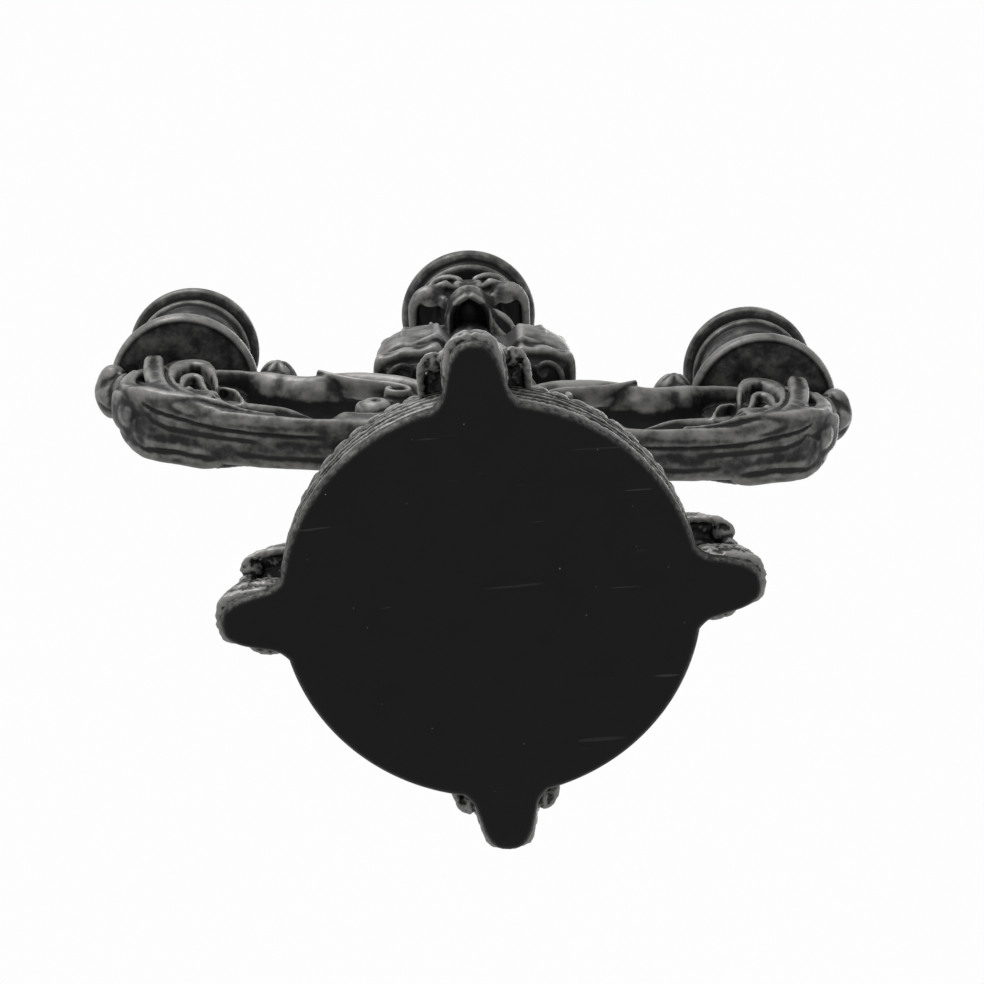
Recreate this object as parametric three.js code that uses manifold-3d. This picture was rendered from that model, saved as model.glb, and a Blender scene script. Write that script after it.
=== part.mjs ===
// Three light gothic candelabra: a round base on four skull feet, a turned stem,
// two scroll arms and a skull that carries the middle light. Millimetres, +Z up,
// origin on the surface it stands on, under the stem's axis. The front faces -Y.
import * as THREE from 'three';
import { mergeVertices } from 'three/addons/utils/BufferGeometryUtils.js';
import Module from 'manifold-3d';

const wasm = await Module();
wasm.setup();

// Fits and counts
const seatGap = 0.3; // between faces that are glued or stacked
const boreGap = 0.35; // round a rod, stud, dowel or screw
const roundSides = 36; // sides of the base
const turnedSides = 20; // sides of turned pieces
const pinSides = 10; // sides of rods, dowels and bores

// Base
const flatRadius = 60; // flat underside of the base
const edgeRound = 1.8; // rounded lower edge
const plateThickness = 4.7;
const lugReach = 77.4; // flat tip of a foot lug, from the stem's axis
const lugHalfWidth = 7.2;
const lugTipHalfWidth = 4.6;
const lugTipLength = 9; // length over which a lug draws in to its tip
const lugTipRound = 2.6;
const drumHeight = 19.3;
const drumWall = 11;
const webThickness = 6;
const ridgeRise = 1.1; // how far the drum's ridges stand out
const ridgeCount = 3;
const domeFootRadius = 57;
const domeHeight = 33;
const domeTopRadius = 21;
const domeLeafSpots = [0.97, 0.6, 0.2, -0.03]; // along the slope, from its top to its foot
const domeLeafHalves = [2.6, 5.8, 6.2, 3.2]; // half widths of a leaf there
const domeLeafRises = [1.6, 2.6, 2.6, 1.8];
const domeLeafRoot = 1.2; // how deep a leaf is sunk
const spigotRadius = 12;
const spigotHeight = 3;

// Foot skulls, in their own frame: the face looks along -Y and the teeth start at z 0
const footSkullWidth = 33; // across the cheek arches
const footSkullHeight = 38;
const crownSkullWidth = 43;
const jawFront = 17.4; // jaw's front, ahead of the skull's middle, on a foot skull
const jawHalfWidth = 7.6;
const jawRoot = 8.5; // where the jaw's curve begins, ahead of the middle
const jawRise = 0.27; // heights on a skull, as parts of its own height
const cheekRise = 0.34;
const faceRise = 0.45;
const eyeRise = 0.49;
const browRise = 0.6;
const noseRise = 0.33;
const craniumHeight = 30.4;
const craniumWidth = 28.8;
const craniumDepth = 33;
const cheekHalf = 10.6; // from the middle line to the middle of a cheekbone
const eyeHalf = 5.2;
const toothCount = 9;
const toothBulge = 0.8;
const archRadius = 1.7;
const teethPastLug = 2; // front of the teeth beyond the lug's flat tip
const dowelRadius = 2.5;
const dowelLength = 14;
const dowelRise = 12; // height of a foot dowel above the skull's teeth line
const dowelSetback = 1.5; // from the skull's middle towards the stem

// Stem
const stemLowerHeight = 44;
const vaseRadius = 20;
const neckRadius = 10.5;
const knopHeight = 11;
const knopRadius = 18;
const stemUpperHeight = 29;
const columnRadius = 12.5;
const hubHeight = 64;
const hubRadius = 19;
const abacusThickness = 10;
const abacusWidth = 71;
const abacusDepth = 44;
const abacusCorner = 15; // radius of the abacus corners
const shoulderRise = 70; // from the abacus to the skull's neck
const shoulderRadius = 35.2;
const shoulderDepth = 58; // front to back at its fullest
const shoulderTwist = 3.5; // degrees about the stem
const skullNeckRadius = 11;
const crownTwist = 1.5; // degrees about the stem
const crownForward = 1.6; // the middle skull's middle, ahead of the stem's axis
const crownJawBack = 3.2; // how far its jaw falls back, at the size of a foot skull
const footLean = 0.27; // a foot skull leans back by this part of its height
const crownSeatDepth = 9.5; // how deep the neck stands in a foot sized skull
const crownFlat = 1.5; // height cut off the middle skull's crown
const palateHalf = 5.2; // hollow of the palate, at the size of a foot skull
const palateLength = 8.4;
const palateDepth = 7;

// Rod
const rodRadius = 4;
const nutFlats = 13;
const nutHeight = 6.5;
const lockNutHeight = 4;
const washerRadius = 10;
const washerThickness = 1.6;
const rodEndClearance = 3; // rod end to the base plate

// Lights
const panRadius = 27.2;
const panThickness = 8;
const crownPanThickness = 12;
const crownStepRadius = 22.8;
const crownBossRadius = 14;
const cupHeight = 45;
const cupFootRadius = 25.2;
const cupWaistRadius = 16.5;
const cupRingRadius = 21.6;
const cupRimRadius = 24.7;
const candleRadius = 11.2; // candle socket bore
const linerWall = 0.8;
const linerDepth = 24;
const linerLip = 0.6; // how far a liner stands above its cup
const linerLipWidth = 1.4;
const panDish = 1.2; // depth of the dished top of the middle pan
const socketFloor = 3;
const screwRadius = 2;
const screwHeadRadius = 4;
const screwHeadHeight = 2.4;
const screwBite = 11; // thread length in the arm
const mouthRound = 2;

// Arms, drawn flat: a runs out from the stem, z is height. The big volute hangs from
// the pan's seat, the small one and the upper scroll from the top of the root
const armTwist = 6.5; // degrees about the stem
const armDepth = 19; // front to back
const armSpan = 106.1; // stem axis to candle axis
const armTop = 212.7; // seat of the side pans
const voluteInset = 3.1; // big volute's middle, in from the candle's axis
const voluteDrop = 18.7; // and below the pan's seat
const voluteRadius = 28; // centre line of the scroll at the bottom of the big volute
const voluteShrink = 0.3; // radius loss for each quarter turn, as a power of e
const voluteQuarters = 5.2;
const scrollHalf = 6; // half thickness at the bottom of the big volute
const innerReach = 36; // small volute's middle, from the stem's axis
const innerDrop = 17.3; // and below the root's top
const innerRadius = 12.5;
const innerQuarters = 3.6;
const barSag = 1.5; // how far the bar dips between its two volutes
const padRadius = 11;
const padHeight = 8;
const padEdge = 3;
const padTaper = 5;
const padRoot = 6;
const knobReach = 138.6; // outermost point of the arm's curled leaf
const knobRadius = 6.3;
const knobHalfLength = 8;
const knobDrop = 3.7; // knob's middle below the pan's seat
const filletRise = 5.2; // centre line of the upper scroll above the root's top
const filletReaches = [6, 17, 31, 45, 53.5]; // its bends, out from the hub's flat
const filletBends = [-12, -3, 0, 0, 8]; // and up from that centre line
const filletHalf = 5;
const filletDepth = 20;
const budReach = 72.5;
const budRise = 19; // bud's middle above the upper scroll
const budHalves = [5, 12.5, 7]; // out from the stem, front to back, up
const webDepth = 9;
const rootHeight = 36;
const rootLength = 12;
const rootInset = 2; // depth of the flats on the hub
const rootDrop = 22; // root pad below the hub's top
const studRadius = 3;
const studLength = 24;
const studInArm = 13;

// Heights that follow
const drumBottom = plateThickness + seatGap;
const drumTop = drumBottom + drumHeight;
const domeBottom = drumTop + seatGap;
const domeTop = domeBottom + domeHeight;
const stemLowerBottom = domeTop + seatGap;
const stemLowerTop = stemLowerBottom + stemLowerHeight;
const knopBottom = stemLowerTop + seatGap;
const knopTop = knopBottom + knopHeight;
const stemUpperBottom = knopTop + seatGap;
const stemUpperTop = stemUpperBottom + stemUpperHeight;
const hubBottom = stemUpperTop + seatGap;
const hubTop = hubBottom + hubHeight;
const rootReach = hubRadius - rootInset;
const rootTop = hubTop - rootDrop;
const shoulderBottom = hubTop + seatGap;
const abacusTop = shoulderBottom + abacusThickness;
const shoulderTop = abacusTop + shoulderRise;
const drumRadius = flatRadius + edgeRound;
const skullScale = crownSkullWidth / footSkullWidth;
const feetTeethReach = lugReach + teethPastLug;
const volutePoint = new THREE.Vector2(armSpan - voluteInset, armTop - voluteDrop);
const innerPoint = new THREE.Vector2(innerReach, rootTop - innerDrop);
const filletHeight = rootTop + filletRise;
const budHeight = filletHeight + budRise;
const knobHeight = armTop - knobDrop;

// Turns a three.js geometry into a solid; its faces are turned out if they point in
function solid(geometry) {
  const bare = geometry.index ? geometry.toNonIndexed() : geometry.clone();
  for (const name of Object.keys(bare.attributes)) {
    if (name !== 'position') bare.deleteAttribute(name);
  }
  const merged = mergeVertices(bare, 1e-4);
  const points = merged.attributes.position.array;
  const corner = (i, axis) => points[3 * i + axis];
  const faces = [];
  let volume = 0;
  for (let i = 0; i < merged.index.count; i += 3) {
    const [p, q, r] = [0, 1, 2].map((k) => merged.index.getX(i + k));
    if (p === q || q === r || r === p) continue;
    faces.push([p, q, r]);
    volume += corner(p, 0) * (corner(q, 1) * corner(r, 2) - corner(q, 2) * corner(r, 1));
    volume += corner(p, 1) * (corner(q, 2) * corner(r, 0) - corner(q, 0) * corner(r, 2));
    volume += corner(p, 2) * (corner(q, 0) * corner(r, 1) - corner(q, 1) * corner(r, 0));
  }
  const order = volume < 0 ? faces.map(([p, q, r]) => [p, r, q]) : faces;
  return new wasm.Manifold(new wasm.Mesh({
    numProp: 3,
    vertProperties: new Float32Array(points),
    triVerts: new Uint32Array(order.flat()),
  }));
}

function geometryOf(body) {
  const mesh = body.getMesh();
  const geometry = new THREE.BufferGeometry();
  geometry.setAttribute('position', new THREE.BufferAttribute(new Float32Array(mesh.vertProperties), 3));
  geometry.setIndex(new THREE.BufferAttribute(new Uint32Array(mesh.triVerts), 1));
  geometry.computeVertexNormals();
  return geometry;
}

const join = (first, ...rest) => rest.reduce((sum, next) => sum.add(next), first);
const cut = (first, ...tools) => tools.reduce((sum, next) => sum.subtract(next), first);

// A turned piece about Z; profile points are [radius, height]
function turned(profile, sides = turnedSides) {
  const points = profile.map(([radius, height]) => new THREE.Vector2(radius, height));
  return solid(new THREE.LatheGeometry(points, sides).rotateX(Math.PI / 2));
}

function rod(radius, bottom, top, sides = pinSides) {
  return turned([[0, bottom], [radius, bottom], [radius, top], [0, top]], sides);
}

// A shape drawn flat in x and y, made thick along Z with rounded edges
function slab(shape, bottom, top, bevel = 0, steps = 2, curveSteps = 8) {
  const geometry = new THREE.ExtrudeGeometry(shape, {
    depth: top - bottom - 2 * bevel,
    bevelEnabled: bevel > 0,
    bevelThickness: bevel,
    bevelSize: bevel,
    bevelOffset: -bevel,
    bevelSegments: steps,
    curveSegments: curveSteps,
  });
  return solid(geometry.translate(0, 0, bottom + bevel));
}

// A shape drawn as [a, z] points in the arm's plane, made thick front to back
function board(points, depth, bevel = 0) {
  const shape = new THREE.Shape(points);
  const geometry = new THREE.ExtrudeGeometry(shape, {
    depth: depth - 2 * bevel,
    bevelEnabled: bevel > 0,
    bevelThickness: bevel,
    bevelSize: bevel,
    bevelOffset: -bevel,
    bevelSegments: 1,
  });
  return solid(geometry.rotateX(Math.PI / 2).translate(0, depth / 2 - bevel, 0));
}

// A tube along points, with the given half thickness
function tube(points, radius, sides = 6, steps = 8) {
  const section = new THREE.Shape();
  for (let i = 0; i < sides; i += 1) {
    const angle = (2 * Math.PI * i) / sides;
    section[i ? 'lineTo' : 'moveTo'](radius * Math.cos(angle), radius * Math.sin(angle));
  }
  const path = new THREE.CatmullRomCurve3(points.map((p) => new THREE.Vector3(...p)));
  return solid(new THREE.ExtrudeGeometry(section, { steps, extrudePath: path, bevelEnabled: false }));
}

function ellipsoid(centre, radii, across = 14, down = 10) {
  const geometry = new THREE.SphereGeometry(1, across, down).rotateX(Math.PI / 2);
  return solid(geometry.scale(...radii).translate(...centre));
}

// Outline of a band with a centre line and a half thickness at each of its points
function bandOutline(line, half) {
  const left = [];
  const right = [];
  line.forEach((point, i) => {
    const before = line[Math.max(i - 1, 0)];
    const after = line[Math.min(i + 1, line.length - 1)];
    const along = after.clone().sub(before).normalize();
    const side = new THREE.Vector2(-along.y, along.x).multiplyScalar(half(i / (line.length - 1)));
    left.push(point.clone().add(side));
    right.push(point.clone().sub(side));
  });
  return [...left, ...right.reverse()];
}

// Base plate: a disc with four lugs, its lower edge rounded
function basePlate() {
  const shape = new THREE.Shape();
  const rootAngle = Math.asin(lugHalfWidth / flatRadius);
  const rootX = flatRadius * Math.cos(rootAngle);
  for (let foot = 0; foot < 4; foot += 1) {
    const turn = (foot * Math.PI) / 2;
    const place = (x, y) => [
      x * Math.cos(turn) - y * Math.sin(turn),
      x * Math.sin(turn) + y * Math.cos(turn),
    ];
    const start = lugReach - lugTipLength;
    const outline = [[rootX, -lugHalfWidth], [start, -lugHalfWidth]];
    outline.push([lugReach - lugTipRound, -lugTipHalfWidth], [lugReach, -lugTipHalfWidth / 3]);
    const mirrored = outline.map(([x, y]) => [x, -y]).reverse();
    [...outline, ...mirrored].forEach(([x, y], i) => {
      shape[foot || i ? 'lineTo' : 'moveTo'](...place(x, y));
    });
    shape.absarc(0, 0, flatRadius, turn + rootAngle, turn + Math.PI / 2 - rootAngle, false);
  }
  const deep = plateThickness + 2 * edgeRound;
  const geometry = new THREE.ExtrudeGeometry(shape, {
    depth: deep,
    bevelThickness: edgeRound,
    bevelSize: edgeRound,
    bevelSegments: 2,
    curveSegments: roundSides / 4,
  });
  const block = solid(geometry.translate(0, 0, edgeRound));
  const above = rod(2 * lugReach, plateThickness, 4 * plateThickness + deep, pinSides);
  return cut(block, above);
}

// Outer profile of the drum, with its ridges, grown by a clearance
function drumProfile(grow) {
  const points = [[drumRadius - ridgeRise + grow, drumBottom - grow]];
  const pitch = drumHeight / (ridgeCount + 0.5);
  for (let i = 0; i < ridgeCount; i += 1) {
    const middle = drumBottom + pitch * (i + 0.5);
    points.push([drumRadius - ridgeRise + grow, middle - pitch * 0.3]);
    points.push([drumRadius + grow, middle]);
  }
  points.push([drumRadius + grow, drumTop - pitch * 0.4], [drumRadius + grow, drumTop - edgeRound + grow]);
  points.push([drumRadius - edgeRound + grow, drumTop + grow]);
  return points;
}

function baseDrum() {
  const inner = drumRadius - drumWall;
  const webBottom = drumTop - webThickness;
  const bore = rodRadius + boreGap;
  const recess = spigotRadius * 2 + seatGap;
  const body = turned([
    [inner, drumBottom], ...drumProfile(0),
    [recess, drumTop], [recess, drumTop - spigotHeight - seatGap], [bore, drumTop - spigotHeight - seatGap],
    [bore, webBottom], [inner, webBottom], [inner, drumBottom],
  ], roundSides);
  const dowels = feetAngles.map((angle) => dowel(boreGap).rotate([0, 0, angle]));
  return cut(body, ...dowels);
}

// Radius and height on the dome's slope: 0 at its foot, 1 at its top
function domeSlope(t) {
  const span = domeFootRadius - domeTopRadius;
  const rise = 5 + (domeHeight - 9) * (0.55 * t + 0.45 * t ** 3);
  return [domeFootRadius - 3 - (span - 6) * t, domeBottom + rise];
}

// Dome: an ogee in steps from the drum to the stem
function domeProfile(grow) {
  const points = [[domeFootRadius + grow, domeBottom - grow], [domeFootRadius + grow, domeBottom + 4]];
  const steps = 5;
  for (let i = 0; i <= steps; i += 1) {
    const [radius, height] = domeSlope(i / steps);
    points.push([radius + grow, height + grow]);
  }
  points.push([domeTopRadius + grow, domeTop - 3], [domeTopRadius + grow, domeTop + grow]);
  return points;
}

// A leaf on the dome's slope, out along +X: hulls between its spots, wide where it is
// sunk in the slope and narrow on top
function domeLeaf() {
  const corners = domeLeafSpots.map((t, i) => {
    const [radius, height] = domeSlope(t);
    const [inner, upper] = domeSlope(t + 0.05);
    const slope = new THREE.Vector2(radius - inner, height - upper).normalize();
    const place = (lift, half) => [radius - slope.y * lift, half, height + slope.x * lift];
    return [-1, 1].flatMap((side) => [
      place(-domeLeafRoot, side * domeLeafHalves[i]), place(domeLeafRises[i], side * domeLeafHalves[i] * 0.5),
    ]);
  });
  const hulls = corners.slice(1).map((corner, i) => wasm.Manifold.hull([...corners[i], ...corner]));
  return join(...hulls);
}

function baseDome() {
  const leaf = domeLeaf();
  const leaves = feetAngles.flatMap((angle) => [30, 60].map((more) => leaf.rotate([0, 0, angle + more])));
  const spigot = spigotRadius * 2;
  const bore = rodRadius + boreGap;
  const recess = spigotRadius + seatGap;
  const recessFloor = domeTop - spigotHeight - seatGap;
  const body = turned([
    [bore, domeBottom - spigotHeight], [spigot, domeBottom - spigotHeight], [spigot, domeBottom],
    ...domeProfile(0), [recess, domeTop], [recess, recessFloor], [bore, recessFloor],
    [bore, domeBottom - spigotHeight],
  ], roundSides);
  return join(body, ...leaves);
}

// The space that the drum and the dome take up, grown by the glue gap
function baseEnvelope() {
  const low = drumBottom - seatGap;
  return join(
    turned([[0, low], ...drumProfile(seatGap), [0, drumTop + seatGap]], roundSides),
    turned([[0, domeBottom - seatGap], ...domeProfile(seatGap), [0, domeTop + seatGap]], roundSides),
  );
}

const feetAngles = [-90, 0, 90, 180];
const feetNames = ['front', 'right', 'back', 'left'];

// Outline of the upper jaw from above, its front scalloped into teeth
function jawOutline() {
  const outline = new THREE.Shape();
  outline.moveTo(-jawHalfWidth, 0);
  const stepsPerTooth = 2;
  const steps = toothCount * stepsPerTooth;
  for (let i = 0; i <= steps; i += 1) {
    const angle = Math.PI * (1 - i / steps);
    const bulge = i % stepsPerTooth ? toothBulge : 0;
    const across = (jawHalfWidth + bulge) * Math.cos(angle);
    const ahead = jawRoot + (jawFront - jawRoot - toothBulge + bulge) * Math.sin(angle);
    outline.lineTo(across, -ahead);
  }
  outline.lineTo(jawHalfWidth, 0);
  return outline;
}

// Skull without its lower jaw, built at the size of a foot skull
function skull() {
  const half = footSkullWidth / 2;
  const at = (rise) => footSkullHeight * rise;
  const cranium = ellipsoid(
    [0, 1.5, footSkullHeight - craniumHeight / 2],
    [craniumWidth / 2, craniumDepth / 2, craniumHeight / 2], 14, 9,
  );
  const face = ellipsoid([0, -6.4, at(faceRise)], [10.6, 8.4, 11.5], 10, 7);
  const brow = ellipsoid([0, -8.9, at(browRise)], [11, 4.2, 3.4], 8, 5);
  const parts = [face, brow, slab(jawOutline(), 0, at(jawRise))];
  for (const side of [-1, 1]) {
    const cheek = [side * cheekHalf, -10.8, at(cheekRise)];
    parts.push(ellipsoid(cheek, [3.8, 3.4, 3.2], 7, 5));
    const arch = [
      cheek,
      [side * (half - 2.4), -7.2, cheek[2] + 0.6],
      [side * (half - 1.7), -2.6, cheek[2] + 1.4],
      [side * (half - 2.2), 3.5, cheek[2] + 2.6],
    ];
    parts.push(tube(arch, archRadius, 5, 4));
  }
  const eyes = [-1, 1].map((side) => ellipsoid([side * eyeHalf, -13.8, at(eyeRise)], [3.7, 5.4, 3.5], 8, 6));
  const nose = new THREE.Shape();
  nose.moveTo(0, 4.2);
  nose.lineTo(-2.3, -1.4);
  nose.lineTo(2.3, -1.4);
  const noseDepth = 8;
  const hollow = new THREE.ExtrudeGeometry(nose, { depth: noseDepth, bevelEnabled: false });
  hollow.rotateX(Math.PI / 2).translate(0, -12, at(noseRise));
  return cut(join(cranium, ...parts), ...eyes, solid(hollow));
}

// A dowel lies level between a foot skull and the drum; grow makes its bore
function dowel(grow = 0) {
  const pin = new THREE.CylinderGeometry(1, 1, 1, pinSides).rotateZ(Math.PI / 2);
  const radius = dowelRadius + grow;
  const length = dowelLength + (grow ? 2 * seatGap : 0);
  const reach = feetTeethReach - jawFront - dowelSetback;
  return solid(pin.scale(length, radius, radius).translate(reach, 0, drumBottom + dowelRise));
}

// A foot skull at angle zero: its face looks out along +X and it stands on the lug
function footSkull(whole, envelope) {
  const reach = feetTeethReach - jawFront;
  const leaning = whole.warp((point) => { point[1] += footLean * point[2]; });
  const placed = leaning.rotate([0, 0, 90]).translate([reach, 0, drumBottom]);
  const below = rod(2 * lugReach, -plateThickness, plateThickness + seatGap, pinSides);
  const seated = cut(placed, below, envelope, dowel(boreGap));
  return largest(seated);
}

// The biggest of a solid's separate lumps
function largest(body) {
  const lumps = body.decompose();
  lumps.sort((p, q) => q.volume() - p.volume());
  return lumps[0];
}

// Stem pieces: each has a spigot below and a recess above, both bored for the rod
function stemPiece(bottom, top, outline, recessed = true) {
  const bore = rodRadius + boreGap;
  const recess = spigotRadius + seatGap;
  const low = bottom - spigotHeight;
  const recessFloor = top - spigotHeight - seatGap;
  const upper = recessed ? [[recess, top], [recess, recessFloor], [bore, recessFloor]] : [[bore, top]];
  const spigot = [[bore, low], [spigotRadius, low], [spigotRadius, bottom]];
  return turned([...spigot, ...outline, ...upper, [bore, low]]);
}

function stemLower() {
  const [b, t] = [stemLowerBottom, stemLowerTop];
  const h = stemLowerHeight;
  return stemPiece(b, t, [
    [vaseRadius - 1, b], [vaseRadius, b + 2], [vaseRadius - 1, b + 4], [vaseRadius - 5, b + 6],
    [neckRadius + 3.5, b + h * 0.24], [vaseRadius - 3, b + h * 0.38], [vaseRadius, b + h * 0.52],
    [vaseRadius - 1.5, b + h * 0.66], [neckRadius + 5, b + h * 0.8], [neckRadius + 4, b + h * 0.9],
    [neckRadius + 5.5, t - 2], [neckRadius + 5.5, t],
  ]);
}

function stemKnop() {
  const [b, t] = [knopBottom, knopTop];
  const middle = (b + t) / 2;
  return stemPiece(b, t, [
    [knopRadius - 3, b], [knopRadius - 1, b + 2], [knopRadius, middle], [knopRadius - 1, t - 2],
    [knopRadius - 3, t],
  ]);
}

function stemUpper() {
  const [b, t] = [stemUpperBottom, stemUpperTop];
  return stemPiece(b, t, [
    [columnRadius + 3, b], [columnRadius + 3, b + 3], [columnRadius + 1, b + 4.5], [columnRadius, b + 8],
    [columnRadius + 0.8, t - 9], [columnRadius + 4, t - 3], [columnRadius + 4, t],
  ]);
}

// The hub that both arms are pinned to, with a flat for each arm's root
function armHub() {
  const [b, t] = [hubBottom, hubTop];
  const body = stemPiece(b, t, [
    [hubRadius - 3, b], [hubRadius - 1, b + 3], [hubRadius - 1, b + 6], [hubRadius, b + 8],
    [hubRadius, t - 6], [hubRadius + 1, t - 4], [hubRadius + 1, t],
  ]);
  const flats = [1, -1].map((side) => {
    const box = new THREE.BoxGeometry(2 * hubRadius, armDepth + 2 * seatGap, rootHeight + 2 * seatGap);
    const middle = rootTop - rootHeight / 2;
    return solid(box.translate(side * (rootReach - seatGap + hubRadius), 0, middle));
  });
  const bores = [1, -1].map((side) => stud(side, boreGap));
  return cut(body, ...flats, ...bores);
}

// A stud lies level between the hub and an arm's root; grow makes its bore
function stud(side, grow) {
  const pin = new THREE.CylinderGeometry(1, 1, 1, pinSides).rotateZ(Math.PI / 2);
  const middle = rootReach + studInArm - studLength / 2;
  const height = rootTop - rootHeight / 2;
  const length = studLength + (grow ? 2 * seatGap : 0);
  return solid(pin.scale(length, studRadius + grow, studRadius + grow).translate(side * middle, 0, height));
}

// Abacus with a bowed front and back and rounded corners
function abacusOutline() {
  const [w, d, c] = [abacusWidth / 2, abacusDepth / 2, abacusCorner / 4];
  const shape = new THREE.Shape();
  shape.moveTo(-w + c, -d + c);
  shape.quadraticCurveTo(0, -d - c, w - c, -d + c);
  shape.quadraticCurveTo(w, -d + c, w, -d + 3 * c);
  shape.lineTo(w, d - 3 * c);
  shape.quadraticCurveTo(w, d - c, w - c, d - c);
  shape.quadraticCurveTo(0, d + c, -w + c, d - c);
  shape.quadraticCurveTo(-w, d - c, -w, d - 3 * c);
  shape.lineTo(-w, -d + 3 * c);
  shape.quadraticCurveTo(-w, -d + c, -w + c, -d + c);
  return shape;
}

// Abacus, the rounded shoulder above it and the neck that enters the skull
function shoulder() {
  const abacus = slab(abacusOutline(), shoulderBottom, abacusTop, 1, 1, 5);
  const low = abacusTop - 1;
  const rise = shoulderTop - abacusTop;
  const neckTop = shoulderTop + spigotHeight;
  const bell = turned([
    [0, low], [shoulderRadius - 5, low], [shoulderRadius - 1, low + rise * 0.07],
    [shoulderRadius, low + rise * 0.2], [shoulderRadius - 3, low + rise * 0.42],
    [shoulderRadius - 7.5, low + rise * 0.6],
    [shoulderRadius - 13, low + rise * 0.71], [skullNeckRadius + 2.5, low + rise * 0.78],
    [skullNeckRadius, low + rise * 0.82],
    [skullNeckRadius, neckTop], [0, neckTop],
  ]);
  const flat = bell.scale([1, shoulderDepth / 2 / shoulderRadius, 1]);
  const round = rod(skullNeckRadius, abacusTop, neckTop, turnedSides);
  const spigot = rod(spigotRadius, shoulderBottom - spigotHeight, abacusTop, turnedSides);
  const bore = rod(rodRadius + boreGap, shoulderBottom - 2 * spigotHeight, neckTop + spigotHeight);
  return cut(join(abacus, flat, round, spigot), bore);
}

// Where the crown skull's parts lie above the stem
const crownBase = shoulderTop - crownSeatDepth * skullScale;
const crownTop = crownBase + footSkullHeight * skullScale;
const crownPanBottom = crownTop + seatGap - crownFlat;
const crownPanTop = crownPanBottom + crownPanThickness;
const crownSeat = crownPanTop - panDish;
const topNutBottom = crownSeat + linerLip - linerDepth - seatGap - lockNutHeight;
const crownBossBottom = topNutBottom - seatGap - socketFloor;

function crownSkull(whole) {
  const faceHeight = 0.4 * footSkullHeight;
  const leaning = whole.warp((point) => {
    point[1] += crownJawBack * (1 - THREE.MathUtils.smoothstep(point[2], 0.05 * footSkullHeight, faceHeight));
  });
  const sized = leaning.scale(skullScale).translate([0, -crownForward, crownBase]);
  const palateFront = jawFront - crownJawBack - palateLength - 2;
  const palateMiddle = [0, -crownForward - palateFront * skullScale, crownBase];
  const palateRadii = [palateHalf * skullScale, palateLength * skullScale, palateDepth];
  const palate = ellipsoid(palateMiddle, palateRadii, 12, 8);
  const flatTop = rod(crownSkullWidth, crownPanBottom - seatGap, crownTop + crownPanThickness);
  const bossRecess = rod(crownBossRadius + seatGap, crownBossBottom - seatGap, crownTop + 1, turnedSides);
  const under = crownBase - spigotHeight;
  const neckTop = shoulderTop + spigotHeight + seatGap;
  const neckRecess = rod(skullNeckRadius + seatGap, under, neckTop, turnedSides);
  const bore = rod(rodRadius + boreGap, under, crownTop);
  const body = cut(sized, palate, flatTop, bossRecess, neckRecess, bore);
  return largest(body);
}

// Middle light: a stepped pan with a boss that drops into the skull's crown
function crownPan() {
  const [b, t] = [crownPanBottom, crownPanTop];
  const socket = candleRadius + linerWall + seatGap;
  const floor = crownBossBottom + socketFloor;
  const bore = rodRadius + boreGap;
  return turned([
    [bore, crownBossBottom], [crownBossRadius, crownBossBottom], [crownBossRadius, b],
    [crownStepRadius - 2, b], [crownStepRadius, b + 1.5], [crownStepRadius, b + 4.5],
    [panRadius - 1.5, b + 6], [panRadius, b + 7.5], [panRadius, t - 1.5], [panRadius - 1.5, t],
    [socket + mouthRound + 2, t - panDish], [socket, t - panDish],
    [socket, floor], [bore, floor], [bore, crownBossBottom],
  ]);
}

// A candle liner: a thin metal cup with a small lip; top is its seat's height
function liner(x, top) {
  const outer = candleRadius + linerWall;
  const bottom = top + linerLip - linerDepth;
  return turned([
    [0, bottom], [outer, bottom], [outer, top + seatGap], [outer + linerLipWidth, top + seatGap],
    [outer + linerLipWidth, top + linerLip], [candleRadius, top + linerLip],
    [candleRadius, bottom + linerWall], [0, bottom + linerWall],
  ]).translate([x, 0, 0]);
}

// Side lights: pan, spool shaped cup, liner and the screw that holds them down
const panBottom = armTop + seatGap;
const panTop = panBottom + panThickness;
const cupBottom = panTop + seatGap;
const cupTop = cupBottom + cupHeight;
const cupFloor = cupTop + linerLip - linerDepth - seatGap - screwHeadHeight - seatGap;

function sidePan(x) {
  const [b, t] = [panBottom, panTop];
  const bore = screwRadius + boreGap;
  return turned([
    [bore, b], [panRadius - 5, b], [panRadius - 1.5, b + 1], [panRadius, b + 2.5], [panRadius, b + 4.5],
    [panRadius - 1.2, b + 6], [panRadius - 1.6, t], [bore, t], [bore, b],
  ]).translate([x, 0, 0]);
}

function sideCup(x) {
  const [b, t] = [cupBottom, cupTop];
  const bore = screwRadius + boreGap;
  const socket = candleRadius + linerWall + seatGap;
  return turned([
    [bore, b], [cupFootRadius - 1, b], [cupFootRadius, b + 1.5], [cupFootRadius - 0.6, b + 4],
    [cupFootRadius - 4.5, b + 6.5], [cupWaistRadius + 1.5, b + 11], [cupWaistRadius, b + 17],
    [cupWaistRadius + 1.5, b + 24], [cupRingRadius - 1.8, t - 11.5], [cupRingRadius, t - 10],
    [cupRingRadius, t - 8], [cupRingRadius - 1.4, t - 6.8], [cupRimRadius - 1.4, t - 5.6],
    [cupRimRadius, t - 4.2], [cupRimRadius, t - 1.4], [cupRimRadius - 1.4, t],
    [socket, t], [socket, cupFloor], [bore, cupFloor], [bore, b],
  ]).translate([x, 0, 0]);
}

function cupScrew(x) {
  const head = cupFloor + seatGap;
  const tip = armTop - screwBite;
  return turned([
    [0, tip], [screwRadius, tip + 1], [screwRadius, head], [screwHeadRadius, head],
    [screwHeadRadius, head + screwHeadHeight - 0.6], [screwHeadRadius - 0.8, head + screwHeadHeight],
    [0, head + screwHeadHeight],
  ], pinSides).translate([x, 0, 0]);
}

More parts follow.
